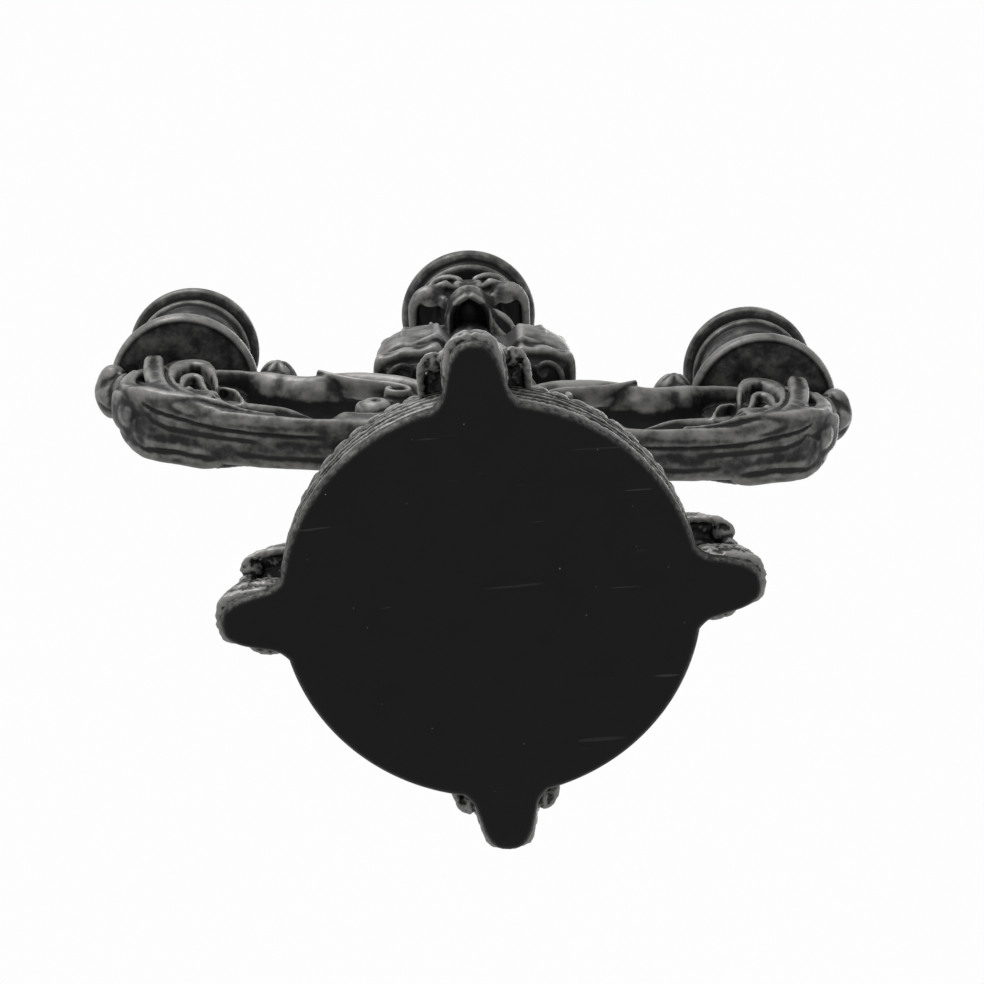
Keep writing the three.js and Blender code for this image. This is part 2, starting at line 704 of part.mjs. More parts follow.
// The point at a radius and an angle from a middle, in the arm's plane
function aroundPoint(middle, radius, angle) {
  return new THREE.Vector2(middle.x + radius * Math.cos(angle), middle.y + radius * Math.sin(angle));
}

// Centre line of an arm's main scroll, from the inner volute's eye to the outer one's
function scrollLine() {
  const line = [];
  const innerSteps = 10;
  for (let i = 0; i < innerSteps; i += 1) {
    const quarters = innerQuarters * (1 - i / innerSteps);
    const radius = innerRadius * Math.exp(-voluteShrink * quarters);
    const angle = -Math.PI / 2 - (quarters * Math.PI) / 2;
    line.push(aroundPoint(innerPoint, radius, angle));
  }
  const from = innerPoint.clone().add(new THREE.Vector2(0, -innerRadius));
  const to = volutePoint.clone().add(new THREE.Vector2(0, -voluteRadius));
  const barSteps = 6;
  for (let i = 0; i < barSteps; i += 1) {
    const t = i / barSteps;
    const eased = t * t * (3 - 2 * t);
    const dip = barSag * Math.sin(Math.PI * t);
    line.push(new THREE.Vector2(from.x + (to.x - from.x) * t, from.y + (to.y - from.y) * eased - dip));
  }
  const outerSteps = 20;
  for (let i = 0; i <= outerSteps; i += 1) {
    const quarters = (voluteQuarters * i) / outerSteps;
    const radius = voluteRadius * Math.exp(-voluteShrink * quarters);
    const angle = -Math.PI / 2 + (quarters * Math.PI) / 2;
    line.push(aroundPoint(volutePoint, radius, angle));
  }
  return line;
}

// Half thickness along the main scroll: thin in both volutes, full along the bar
function scrollThickness(t) {
  const inner = THREE.MathUtils.smoothstep(t, 0, 0.24);
  const outer = 1 - 0.72 * THREE.MathUtils.smoothstep(t, 0.46, 1);
  return scrollHalf * (0.35 + 0.65 * inner) * outer;
}

// Smooth line through a few [a, z] points
function smoothLine(points, steps) {
  return new THREE.SplineCurve(points.map(([a, z]) => new THREE.Vector2(a, z))).getPoints(steps);
}

// An arm at angle zero, out along +X
function arm() {
  const scroll = board(bandOutline(scrollLine(), scrollThickness), armDepth, 1.6);
  const eye = board(circle(volutePoint, voluteRadius * 0.21, 10), armDepth + 2);
  const innerEye = board(circle(innerPoint, innerRadius * 0.42, 8), armDepth + 1);
  const web = board(circle(volutePoint, voluteRadius - scrollHalf / 2, 14), webDepth);
  const filletEnd = armTop - filletHalf - seatGap;
  const bends = filletReaches.map((reach, i) => [rootReach + reach, filletHeight + filletBends[i]]);
  const filletLine = smoothLine([
    ...bends, [volutePoint.x - 0.68 * voluteRadius, filletEnd], [volutePoint.x, filletEnd],
  ], 13);
  const fillet = board(bandOutline(filletLine, () => filletHalf), filletDepth, 1.2);
  const beside = (out, up) => [volutePoint.x + out * voluteRadius, volutePoint.y + up * voluteRadius];
  const leafLine = smoothLine([
    beside(-0.68, -0.93), beside(-0.21, -0.79), beside(0.21, -0.5), beside(0.46, -0.07), beside(0.5, 0.46),
  ], 7);
  const leafHalf = (t) => scrollHalf * (0.27 + 0.43 * Math.sin(Math.PI * (0.2 + 0.8 * t)) ** 0.5);
  const leaf = board(bandOutline(leafLine, leafHalf), armDepth + 2, 1);
  const knobMiddle = [knobReach - knobRadius, 0, knobHeight];
  const knob = ellipsoid(knobMiddle, [knobRadius, knobHalfLength, knobRadius + 0.6], 10, 7);
  const neckMiddle = [knobReach - 1.8 * knobRadius, 0, knobHeight - 0.8 * knobRadius];
  const knobNeck = ellipsoid(neckMiddle, [0.95 * knobRadius, 0.45 * armDepth, 1.1 * knobRadius], 8, 6);
  const bud = ellipsoid([budReach, 0, budHeight], budHalves, 10, 6);
  const root = new THREE.BoxGeometry(rootLength, armDepth, rootHeight);
  root.translate(rootReach + rootLength / 2, 0, rootTop - rootHeight / 2);
  const padFoot = armTop - padHeight - padRoot;
  const pad = turned([
    [0, padFoot], [padRadius - padTaper, padFoot], [padRadius, armTop - padEdge], [padRadius, armTop],
    [0, armTop],
  ]).translate([armSpan, 0, 0]);
  const whole = join(scroll, eye, innerEye, web, fillet, leaf, knob, knobNeck, bud, solid(root), pad);
  const above = rod(3 * padRadius, armTop, armTop + voluteRadius).translate([armSpan, 0, 0]);
  const screwBore = rod(screwRadius + boreGap, armTop - screwBite - seatGap, armTop + 1);
  return largest(cut(whole, above, screwBore.translate([armSpan, 0, 0]), stud(1, boreGap)));
}

// Corners of a circle drawn in the arm's plane
function circle(middle, radius, sides) {
  return Array.from({ length: sides }, (_, i) => aroundPoint(middle, radius, (2 * Math.PI * i) / sides));
}

// Rod, nuts and washer
const washerTop = drumTop - webThickness - seatGap;
const washerBottom = washerTop - washerThickness;
const nutTop = washerBottom - seatGap;
const rodBottom = plateThickness + rodEndClearance;
const rodTop = topNutBottom + lockNutHeight - 0.5;

function washer() {
  const bore = rodRadius + boreGap;
  return turned([
    [bore, washerBottom], [washerRadius, washerBottom], [washerRadius, washerTop], [bore, washerTop],
    [bore, washerBottom],
  ]);
}

function nut(bottom, height) {
  const hexagon = rod(nutFlats / 2 / Math.cos(Math.PI / 6), bottom, bottom + height, 6);
  return cut(hexagon, rod(rodRadius + boreGap, bottom - 1, bottom + height + 1));
}

// Finishes
function finish(color, roughness, metalness) {
  return () => new THREE.MeshStandardMaterial({ color, roughness, metalness });
}
const blackResin = finish(0x1c1b1c, 0.5, 0.1);
const flatBlack = finish(0x141314, 0.62, 0);
const steel = finish(0x8d9094, 0.35, 0.9);
const tin = finish(0x6f7074, 0.4, 0.85);
const beech = finish(0xb08a5c, 0.7, 0);

const candelabra = new THREE.Group();
const base = new THREE.Group();
const stem = new THREE.Group();
const crown = new THREE.Group();
crown.rotation.z = THREE.MathUtils.degToRad(crownTwist);
const arms = new THREE.Group();
arms.rotation.z = THREE.MathUtils.degToRad(armTwist);
const shoulderGroup = new THREE.Group();
shoulderGroup.rotation.z = THREE.MathUtils.degToRad(shoulderTwist);
candelabra.add(base, stem, shoulderGroup, crown, arms);

function add(group, name, body, material) {
  const mesh = new THREE.Mesh(geometryOf(body), material());
  mesh.name = name;
  group.add(mesh);
  return mesh;
}

const wholeSkull = skull();
const envelope = baseEnvelope();
const oneFoot = footSkull(wholeSkull, envelope);
add(base, 'base_plate', basePlate(), flatBlack);
add(base, 'base_drum', baseDrum(), blackResin);
add(base, 'base_dome', baseDome(), blackResin);
feetNames.forEach((name, i) => {
  const foot = new THREE.Group();
  foot.rotation.z = THREE.MathUtils.degToRad(feetAngles[i]);
  base.add(foot);
  add(foot, `foot_skull_${name}`, oneFoot, blackResin);
  add(foot, `foot_dowel_${name}`, dowel(), beech);
});

add(stem, 'stem_vase', stemLower(), blackResin);
add(stem, 'stem_knop', stemKnop(), blackResin);
add(stem, 'stem_column', stemUpper(), blackResin);
add(stem, 'tie_rod', rod(rodRadius, rodBottom, rodTop), steel);
add(stem, 'base_washer', washer(), steel);
add(stem, 'base_nut', nut(nutTop - nutHeight, nutHeight), steel);
add(stem, 'crown_nut', nut(topNutBottom, lockNutHeight), steel);

add(shoulderGroup, 'shoulder', shoulder(), blackResin);
add(crown, 'crown_skull', crownSkull(wholeSkull), blackResin);
add(crown, 'crown_pan', crownPan(), blackResin);
add(crown, 'crown_liner', liner(0, crownSeat), tin);

add(arms, 'arm_hub', armHub(), blackResin);
[['right', 0], ['left', 180]].forEach(([name, angle]) => {
  const side = new THREE.Group();
  side.rotation.z = THREE.MathUtils.degToRad(angle);
  arms.add(side);
  add(side, `arm_${name}`, arm(), blackResin);
  add(side, `arm_stud_${name}`, stud(1, 0), steel);
  add(side, `pan_${name}`, sidePan(armSpan), blackResin);
  add(side, `cup_${name}`, sideCup(armSpan), blackResin);
  add(side, `liner_${name}`, liner(armSpan, cupTop), tin);
  add(side, `cup_screw_${name}`, cupScrew(armSpan), steel);
});

export default candelabra;
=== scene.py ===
# Three light gothic candelabra of cast resin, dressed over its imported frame.
# Lengths in the settings are millimetres; meshes are made in metres.
import math
import bpy
import numpy as np
from mathutils import Matrix, Vector


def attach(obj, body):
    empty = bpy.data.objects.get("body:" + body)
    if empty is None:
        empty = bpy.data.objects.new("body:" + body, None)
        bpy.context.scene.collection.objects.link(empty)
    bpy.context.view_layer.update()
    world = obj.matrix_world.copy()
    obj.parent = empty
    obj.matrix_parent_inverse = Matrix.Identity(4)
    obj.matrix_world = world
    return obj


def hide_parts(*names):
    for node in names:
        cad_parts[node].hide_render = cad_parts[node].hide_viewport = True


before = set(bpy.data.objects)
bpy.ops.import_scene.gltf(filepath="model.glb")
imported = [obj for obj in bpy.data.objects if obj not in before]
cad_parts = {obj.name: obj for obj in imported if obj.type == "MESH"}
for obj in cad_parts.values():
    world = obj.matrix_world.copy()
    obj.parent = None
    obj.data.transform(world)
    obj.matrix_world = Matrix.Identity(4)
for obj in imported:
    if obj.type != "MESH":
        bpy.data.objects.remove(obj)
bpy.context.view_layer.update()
scene = bpy.context.scene
mm = 0.001


# plain helpers
def smoothStep(x, low, high):
    t = np.clip((x - low) / (high - low), 0, 1)
    return t * t * (3 - 2 * t)


def unitRows(v):
    return v / np.maximum(np.linalg.norm(v, axis=-1, keepdims=True), 1e-12)


def bell(x, width):
    return np.exp(-(x / width) ** 2)


# A smooth line through rows of numbers: cubic Hermite pieces whose slopes are the
# central differences, spaced by the distance between the first three columns.
def lineThrough(rows, count):
    p = np.asarray(rows, float)
    d = np.r_[0, np.cumsum(np.linalg.norm(np.diff(p[:, :3], axis=0), axis=1))]
    slope = np.gradient(p, d, axis=0)
    s = np.linspace(0, d[-1], count)
    k = np.clip(np.searchsorted(d, s, side="right") - 1, 0, len(d) - 2)
    span = (d[k + 1] - d[k])[:, None]
    t = ((s - d[k]) / span[:, 0])[:, None]
    a, b, ma, mb = p[k], p[k + 1], slope[k] * span, slope[k + 1] * span
    return (2 * t**3 - 3 * t**2 + 1) * a + (t**3 - 2 * t**2 + t) * ma + (3 * t**2 - 2 * t**3) * b + (t**3 - t**2) * mb


# Grid of points to a closed skin: rows run along, columns run round. Each end row
# shrinks to its middle point, unless the rows join up as well.
def closedGrid(grid, ring=False):
    n, m = grid.shape[:2]
    col = np.arange(m)
    nxt = (col + 1) % m
    if ring:
        row = np.arange(n)
        a = row[:, None] * m + col
        b = row[:, None] * m + nxt
        c = ((row + 1) % n)[:, None] * m + nxt
        d = ((row + 1) % n)[:, None] * m + col
        return grid.reshape(-1, 3), np.stack([a, b, c, d], -1).reshape(-1, 4), np.zeros((0, 3), int)
    body = grid[1:-1].reshape(-1, 3)
    ends = np.stack([grid[0].mean(0), grid[-1].mean(0)])
    points = np.concatenate([body, ends])
    row = np.arange(n - 3)
    a = row[:, None] * m + col
    b = row[:, None] * m + nxt
    quads = np.stack([a, b, b + m, a + m], -1).reshape(-1, 4)
    first, last = len(body), len(body) + 1
    top = (n - 3) * m
    tris = np.concatenate([
        np.stack([np.full(m, first), nxt, col], -1),
        np.stack([np.full(m, last), top + col, top + nxt], -1),
    ])
    return points, quads, tris


def mirrored(surface, axis):
    points, quads, tris = surface
    flipped = points.copy()
    flipped[:, axis] *= -1
    return flipped, quads[:, ::-1], tris[:, ::-1]


def mirroredPair(parts):
    return parts + [mirrored(p, 1) for p in parts]


def moved(surface, matrix=None, shift=(0, 0, 0), scale=1.0):
    points, quads, tris = surface
    out = points * scale
    if matrix is not None:
        out = out @ np.asarray(matrix).T
    return out + np.asarray(shift, float), quads, tris


def turnAboutZ(degrees):
    a = math.radians(degrees)
    return np.array([[math.cos(a), -math.sin(a), 0], [math.sin(a), math.cos(a), 0], [0, 0, 1]])


def turnAboutX(degrees):
    a = math.radians(degrees)
    return np.array([[1, 0, 0], [0, math.cos(a), -math.sin(a)], [0, math.sin(a), math.cos(a)]])


def joined(surfaces):
    points, quads, tris, base = [], [], [], 0
    for p, q, t in surfaces:
        points.append(p)
        quads.append(q + base)
        tris.append(t + base)
        base += len(p)
    return np.concatenate(points), np.concatenate(quads), np.concatenate(tris)


def meshOf(name, surface):
    points, quads, tris = surface
    mesh = bpy.data.meshes.new(name)
    mesh.vertices.add(len(points))
    mesh.vertices.foreach_set("co", (points * mm).astype(np.float32).ravel())
    loops = np.concatenate([quads.ravel(), tris.ravel()]).astype(np.int32)
    starts = np.concatenate([np.arange(len(quads)) * 4, len(quads) * 4 + np.arange(len(tris)) * 3]).astype(np.int32)
    mesh.loops.add(len(loops))
    mesh.loops.foreach_set("vertex_index", loops)
    mesh.polygons.add(len(starts))
    mesh.polygons.foreach_set("loop_start", starts)
    mesh.update(calc_edges=True)
    mesh.validate()
    return mesh


# surfaces
# A band carried along a line. Each row holds place, half width, half thickness and the
# outward direction. The section is a rounded box, (cos)^p by (sin)^p; its outer side
# carries the relief, a function of across (-1 to 1) and along (0 to 1). Both ends are
# rounded off over endLength.
def band(rows, count=90, around=40, square=0.75, relief=None, endLength=(1.0, 1.0)):
    line = lineThrough(rows, count)
    place, halfWidth, halfThick = line[:, :3], line[:, 3], line[:, 4]
    along = unitRows(np.gradient(place, axis=0))
    side = unitRows(np.cross(along, line[:, 5:8]))
    out = np.cross(side, along)
    s = np.r_[0, np.cumsum(np.linalg.norm(np.diff(place, axis=0), axis=1))]
    first = 1 - np.clip(s / endLength[0], 0, 1)
    last = 1 - np.clip((s[-1] - s) / endLength[1], 0, 1)
    shrink = np.sqrt(np.clip(1 - first**2, 0, 1)) * np.sqrt(np.clip(1 - last**2, 0, 1))
    theta = np.arange(around) * 2 * math.pi / around
    x = np.sign(np.cos(theta)) * np.abs(np.cos(theta)) ** square
    y = np.sign(np.sin(theta)) * np.abs(np.sin(theta)) ** square
    across = x[None] * (halfWidth * shrink)[:, None]
    lift = y[None] * (halfThick * shrink)[:, None]
    if relief is not None:
        lift = lift + relief(x[None] + 0 * lift, (s / s[-1])[:, None] + 0 * lift) * np.maximum(y, 0)[None] * shrink[:, None]
    grid = place[:, None] + side[:, None] * across[..., None] + out[:, None] * lift[..., None]
    return closedGrid(grid)


# A blob: an ellipsoid whose radius is stretched by shape(direction)
def blob(centre, radii, shape=None, rows=40, around=56, square=1.0):
    v = np.linspace(0, math.pi, rows)[:, None]
    u = np.arange(around)[None] * 2 * math.pi / around
    d = np.stack([np.sin(v) * np.cos(u), np.sin(v) * np.sin(u), np.cos(v) + 0 * u], -1)
    e = np.sign(d) * np.abs(d) ** square
    size = np.ones(d.shape[:2]) if shape is None else shape(d)
    return closedGrid(np.asarray(centre, float) + e * size[..., None] * np.asarray(radii, float))


# A turned form: profile rows are radius and height, rounded by resampling; relief
# (angle, height, radius) is added to the radius.
def turned(profile, around=192, relief=None, ring=False, step=0.5, centre=(0, 0), flat=1.0):
    p = np.asarray(profile, float)
    if ring:
        p = np.concatenate([p, p[:1]])
    pieces = []
    for a, b in zip(p[:-1], p[1:]):
        n = max(1, int(math.ceil(np.linalg.norm(b - a) / step)))
        pieces.append(a + (b - a) * (np.arange(n) / n)[:, None])
    fine = np.concatenate(pieces + ([] if ring else [p[-1:]]))
    u = np.arange(around)[None] * 2 * math.pi / around
    r, z = fine[:, :1], fine[:, 1:]
    radius = r + 0 * u
    if relief is not None:
        radius = np.maximum(radius + relief(u + 0 * r, z + 0 * u, radius), 0)
    grid = np.stack([centre[0] + radius * np.cos(u), centre[1] + flat * radius * np.sin(u), z + 0 * u], -1)
    return closedGrid(grid, ring)


# Rounds the corners of a profile: each corner becomes a short quadratic curve
def rounded(profile, radius=0.8, steps=4):
    p = np.asarray(profile, float)
    out = [p[0]]
    for a, b, c in zip(p[:-2], p[1:-1], p[2:]):
        la, lc = np.linalg.norm(a - b), np.linalg.norm(c - b)
        ra = min(radius, 0.45 * la) / max(la, 1e-9)
        rc = min(radius, 0.45 * lc) / max(lc, 1e-9)
        s, e = b + (a - b) * ra, b + (c - b) * rc
        for t in np.linspace(0, 1, steps):
            out.append((1 - t) ** 2 * s + 2 * t * (1 - t) * b + t * t * e)
    out.append(p[-1])
    return np.array(out)


# casting: overlapping skins become one skin, which is then evened
def voxelSkin(surfaces, voxel):
    mesh = meshOf("skin", joined(surfaces))
    work = bpy.data.objects.new("skin", mesh)
    scene.collection.objects.link(work)
    remesh = work.modifiers.new("cast", "REMESH")
    remesh.mode = "VOXEL"
    remesh.voxel_size = voxel * mm
    remesh.adaptivity = 0
    made = bpy.data.meshes.new_from_object(work.evaluated_get(bpy.context.evaluated_depsgraph_get()))
    bpy.data.objects.remove(work)
    bpy.data.meshes.remove(mesh)
    points = np.empty(len(made.vertices) * 3, np.float32)
    made.vertices.foreach_get("co", points)
    sizes = np.empty(len(made.polygons), np.int32)
    made.polygons.foreach_get("loop_total", sizes)
    loops = np.empty(len(made.loops), np.int32)
    made.loops.foreach_get("vertex_index", loops)
    starts = np.r_[0, np.cumsum(sizes)[:-1]]
    quads = loops[starts[sizes == 4][:, None] + np.arange(4)]
    tris = loops[starts[sizes == 3][:, None] + np.arange(3)]
    bpy.data.meshes.remove(made)
    return points.reshape(-1, 3).astype(float) / mm, quads.astype(int), tris.astype(int)


def edgesOf(quads, tris):
    pairs = [quads[:, [0, 1]], quads[:, [1, 2]], quads[:, [2, 3]], quads[:, [3, 0]]]
    pairs += [tris[:, [0, 1]], tris[:, [1, 2]], tris[:, [2, 0]]]
    e = np.sort(np.concatenate(pairs), axis=1)
    return np.unique(e, axis=0)


# One step towards the mean of the neighbours, for every point
def neighbourMean(points, edges, degree):
    n = len(points)
    out = np.empty_like(points)
    for k in range(points.shape[1]):
        w = points[:, k]
        out[:, k] = np.bincount(edges[:, 0], w[edges[:, 1]], n) + np.bincount(edges[:, 1], w[edges[:, 0]], n)
    return out / degree[:, None]


def evened(points, edges, steps):
    degree = np.maximum(np.bincount(edges.ravel(), minlength=len(points)), 1)
    for _ in range(steps):
        points = points + 0.55 * (neighbourMean(points, edges, degree) - points)
        points = points - 0.40 * (neighbourMean(points, edges, degree) - points)
    return points


def vertexNormals(points, quads, tris):
    n = np.zeros_like(points)
    for f, (i, j, k) in ((quads, (0, 2, 1)), (quads, (0, 3, 2)), (tris, (0, 2, 1))):
        if len(f):
            c = np.cross(points[f[:, k]] - points[f[:, i]], points[f[:, j]] - points[f[:, i]])
            for v in (i, j, k):
                for axis in range(3):
                    n[:, axis] += np.bincount(f[:, v], c[:, axis], len(points))
    return unitRows(n)


# Value noise: random heights on a lattice, smoothed between its corners, from -1 to 1
latticeHeights = np.random.RandomState(11).uniform(-1, 1, 4096)


def valueNoise(points, size, seed=0):
    p = points / size + 17.3 * (seed + 1)
    cell = np.floor(p).astype(np.int64)
    f = p - cell
    f = f * f * (3 - 2 * f)
    total = np.zeros(len(points))
    for corner in range(8):
        step = np.array([corner & 1, corner >> 1 & 1, corner >> 2 & 1])
        key = (cell + step) @ np.array([73856093, 19349663, 83492791])
        weight = np.prod(np.where(step, f, 1 - f), axis=1)
        total += weight * latticeHeights[np.bitwise_and(key ^ (key >> 13), 4095)]
    return total


# Rough cast skin: three sizes of value noise along the normal
def roughened(points, quads, tris, height, sizes=(2.6, 1.1, 0.6)):
    shares = (0.35, 0.4, 0.25)
    bumps = sum(share * valueNoise(points, size, k) for k, (share, size) in enumerate(zip(shares, sizes)))
    return points + vertexNormals(points, quads, tris) * (height * bumps)[:, None]


# How far each point stands out from its surroundings, near and wide: the distance
# from the skin to its own smoothed copy, measured along the normal.
def standOut(points, quads, tris, edges, near=8, wide=60, nearSize=0.12, wideSize=0.5):
    normals = vertexNormals(points, quads, tris)
    degree = np.maximum(np.bincount(edges.ravel(), minlength=len(points)), 1)
    smooth = points
    result = np.zeros(len(points))
    for step in range(wide):
        smooth = smooth + 0.7 * (neighbourMean(smooth, edges, degree) - smooth)
        if step + 1 == near:
            result += 0.5 * np.clip(np.sum((points - smooth) * normals, 1) / nearSize, -1, 1)
    result += 0.5 * np.clip(np.sum((points - smooth) * normals, 1) / wideSize, -1, 1)
    return result


def finishPiece(name, surface, material, slot, nodes=(), edges=None, raised=None, **marks):
    points, quads, tris = surface
    if raised is None:
        raised = standOut(points, quads, tris, edgesOf(quads, tris) if edges is None else edges, **marks)
    mesh = meshOf(name, surface)
    attribute = mesh.attributes.new("raised", "FLOAT", "POINT")
    attribute.data.foreach_set("value", raised.astype(np.float32))
    mesh.polygons.foreach_set("use_smooth", np.ones(len(mesh.polygons), bool))
    mesh.materials.append(material)
    piece = bpy.data.objects.new(name, mesh)
    scene.collection.objects.link(piece)
    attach(piece, "root")
    if nodes:
        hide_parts(*nodes)
    print("piece", name, len(mesh.polygons), "faces")
    return piece


# finishes
def addNode(tree, kind, values=None, **settings):
    node = tree.nodes.new(kind)
    for key, value in settings.items():
        setattr(node, key, value)
    for key, value in (values or {}).items():
        if isinstance(value, bpy.types.NodeSocket):
            tree.links.new(value, node.inputs[key])
        else:
            node.inputs[key].default_value = value
    return node


def newMaterial(name):
    material = bpy.data.materials.new(name)
    material.use_nodes = True
    tree = material.node_tree
    tree.nodes.clear()
    output = addNode(tree, "ShaderNodeOutputMaterial")
    shader = addNode(tree, "ShaderNodeBsdfPrincipled")
    tree.links.new(shader.outputs[0], output.inputs[0])
    where = addNode(tree, "ShaderNodeTexCoord").outputs["Object"]
    return material, tree, shader, where


def maths(tree, operation, a, b=0.0, c=0.0, clamp=False):
    node = addNode(tree, "ShaderNodeMath", {0: a, 1: b, 2: c}, operation=operation, use_clamp=clamp)
    return node.outputs[0]


def noise(tree, where, scale, detail=3.0, roughness=0.55):
    values = {"Vector": where, "Scale": scale, "Detail": detail, "Roughness": roughness}
    return addNode(tree, "ShaderNodeTexNoise", values).outputs["Fac"]


def colourMix(tree, factor, a, b):
    node = addNode(tree, "ShaderNodeMix", {"Factor": factor}, data_type="RGBA")
    node.inputs[6].default_value = (*a, 1)
    node.inputs[7].default_value = (*b, 1)
    return node.outputs[2]


resinLook = {
    "black": (0.0085, 0.0083, 0.0085), "silver": (0.225, 0.222, 0.215),
    "rubLow": 0.36, "rubHigh": 1.35, "blotchScale": 150, "grainScale": 620, "speckScale": 1900,
}


# Black resin with silver rubbed over what stands out. The mask is the raised
# attribute plus two noises, passed through a smooth step.
def rubbedResin(name, look, lift=0.0, strength=1.0, speck=0.35, flatUnder=False):
    material, tree, shader, where = newMaterial(name)
    raised = addNode(tree, "ShaderNodeAttribute", attribute_name="raised").outputs["Fac"]
    blotch = noise(tree, where, look["blotchScale"], 3, 0.6)
    grain = noise(tree, where, look["grainScale"], 5, 0.65)
    fine = noise(tree, where, look["speckScale"], 2, 0.7)
    total = maths(tree, "MULTIPLY_ADD", raised, 0.62 * strength, 0.42 + lift)
    total = maths(tree, "MULTIPLY_ADD", maths(tree, "SUBTRACT", blotch, 0.5), 1.2, total)
    total = maths(tree, "MULTIPLY_ADD", maths(tree, "SUBTRACT", grain, 0.5), speck, total)
    rub = addNode(tree, "ShaderNodeMapRange", {
        "Value": total, "From Min": look["rubLow"], "From Max": look["rubHigh"], "To Min": 0.0, "To Max": 1.0,
    }, interpolation_type="SMOOTHSTEP").outputs[0]
    if flatUnder:
        height = addNode(tree, "ShaderNodeSeparateXYZ", {0: where}).outputs["Z"]
        side = addNode(tree, "ShaderNodeMapRange", {"Value": height, "From Min": 0.0002, "From Max": 0.0009}).outputs[0]
        rub = maths(tree, "MULTIPLY", rub, side)
    colour = colourMix(tree, rub, look["black"], look["silver"])
    tree.links.new(colour, shader.inputs["Base Color"])
    tree.links.new(maths(tree, "MULTIPLY", rub, 0.3), shader.inputs["Metallic"])
    rough = maths(tree, "MULTIPLY_ADD", fine, 0.22, 0.34)
    tree.links.new(rough, shader.inputs["Roughness"])
    shader.inputs["Specular IOR Level"].default_value = 0.2
    bump = addNode(tree, "ShaderNodeBump", {"Strength": 0.35, "Distance": 0.00012, "Height": grain})
    tree.links.new(bump.outputs[0], shader.inputs["Normal"])
    return material


blackResin = rubbedResin("blackResin", resinLook, lift=0.08, strength=0.85)
baseResin = rubbedResin("baseResin", resinLook, lift=-0.1, strength=1.2, speck=1.2)
skullResin = rubbedResin("skullResin", resinLook, lift=-0.09, strength=1.2, speck=0.45)
footResin = rubbedResin("footResin", resinLook, lift=0.1, strength=1.8, speck=1.5)
dishResin = rubbedResin("dishResin", resinLook, lift=0.2, strength=0.6, speck=0.3)
cupResin = rubbedResin("cupResin", resinLook, lift=-0.06, strength=0.8, speck=0.3)


underLook = {"paint": (0.0042, 0.004, 0.0042), "scuff": (0.05, 0.048, 0.047), "fleck": (0.2, 0.19, 0.18)}


# Flat black paint below; scuffs are a stretched noise through a narrow window, lint is
# the thin rim of a coarse cell pattern. Its edges and sides take the silver rub.
def underPaint(name, look):
    material, tree, shader, where = newMaterial(name)
    height = addNode(tree, "ShaderNodeSeparateXYZ", {0: where}).outputs["Z"]
    side = addNode(tree, "ShaderNodeMapRange", {
        "Value": height, "From Min": 0.00012, "From Max": 0.0011,
    }, interpolation_type="SMOOTHSTEP").outputs[0]
    raised = addNode(tree, "ShaderNodeAttribute", attribute_name="raised").outputs["Fac"]
    grain = noise(tree, where, 620, 5, 0.65)
    blotch = noise(tree, where, 70, 3)
    total = maths(tree, "MULTIPLY_ADD", raised, 0.35, -0.02)
    total = maths(tree, "MULTIPLY_ADD", grain, 1.0, maths(tree, "MULTIPLY_ADD", blotch, 0.5, total))
    rub = addNode(tree, "ShaderNodeMapRange", {
        "Value": total, "From Min": 0.8, "From Max": 1.65,
    }, interpolation_type="SMOOTHSTEP").outputs[0]
    rub = maths(tree, "MULTIPLY", rub, side)
    marks = 0.0
    for turn, scale, low, high, share in ((0.6, 26, 0.735, 0.76, 0.8), (2.2, 34, 0.74, 0.765, 0.6), (1.3, 18, 0.72, 0.74, 0.35)):
        turned45 = addNode(tree, "ShaderNodeMapping", {"Vector": where, "Rotation": (0, 0, turn), "Scale": (1, 14, 1)})
        streak = noise(tree, turned45.outputs[0], scale, 2, 0.4)
        line = addNode(tree, "ShaderNodeMapRange", {"Value": streak, "From Min": low, "From Max": high}).outputs[0]
        marks = maths(tree, "MULTIPLY_ADD", line, share, marks, clamp=True)
    cells = addNode(tree, "ShaderNodeTexVoronoi", {"Vector": where, "Scale": 210, "Randomness": 1.0}).outputs["Distance"]
    lint = addNode(tree, "ShaderNodeMapRange", {"Value": cells, "From Min": 0.06, "From Max": 0.025}).outputs[0]
    sparse = addNode(tree, "ShaderNodeMapRange", {"Value": noise(tree, where, 60, 1), "From Min": 0.57, "From Max": 0.62}).outputs[0]
    lint = maths(tree, "MULTIPLY", lint, sparse)
    paint = colourMix(tree, marks, look["paint"], look["scuff"])
    withLint = addNode(tree, "ShaderNodeMix", {"Factor": lint, 6: paint}, data_type="RGBA")
    withLint.inputs[7].default_value = (*look["fleck"], 1)
    whole = addNode(tree, "ShaderNodeMix", {"Factor": rub, 6: withLint.outputs[2]}, data_type="RGBA")
    whole.inputs[7].default_value = (*resinLook["silver"], 1)
    tree.links.new(whole.outputs[2], shader.inputs["Base Color"])
    tree.links.new(maths(tree, "MULTIPLY", rub, 0.3), shader.inputs["Metallic"])
    tree.links.new(maths(tree, "MULTIPLY_ADD", blotch, 0.2, 0.5), shader.inputs["Roughness"])
    shader.inputs["Specular IOR Level"].default_value = 0.14
    bump = addNode(tree, "ShaderNodeBump", {"Strength": 0.3, "Distance": 0.0001, "Height": grain})
    tree.links.new(bump.outputs[0], shader.inputs["Normal"])
    return material


underBlack = underPaint("underBlack", underLook)


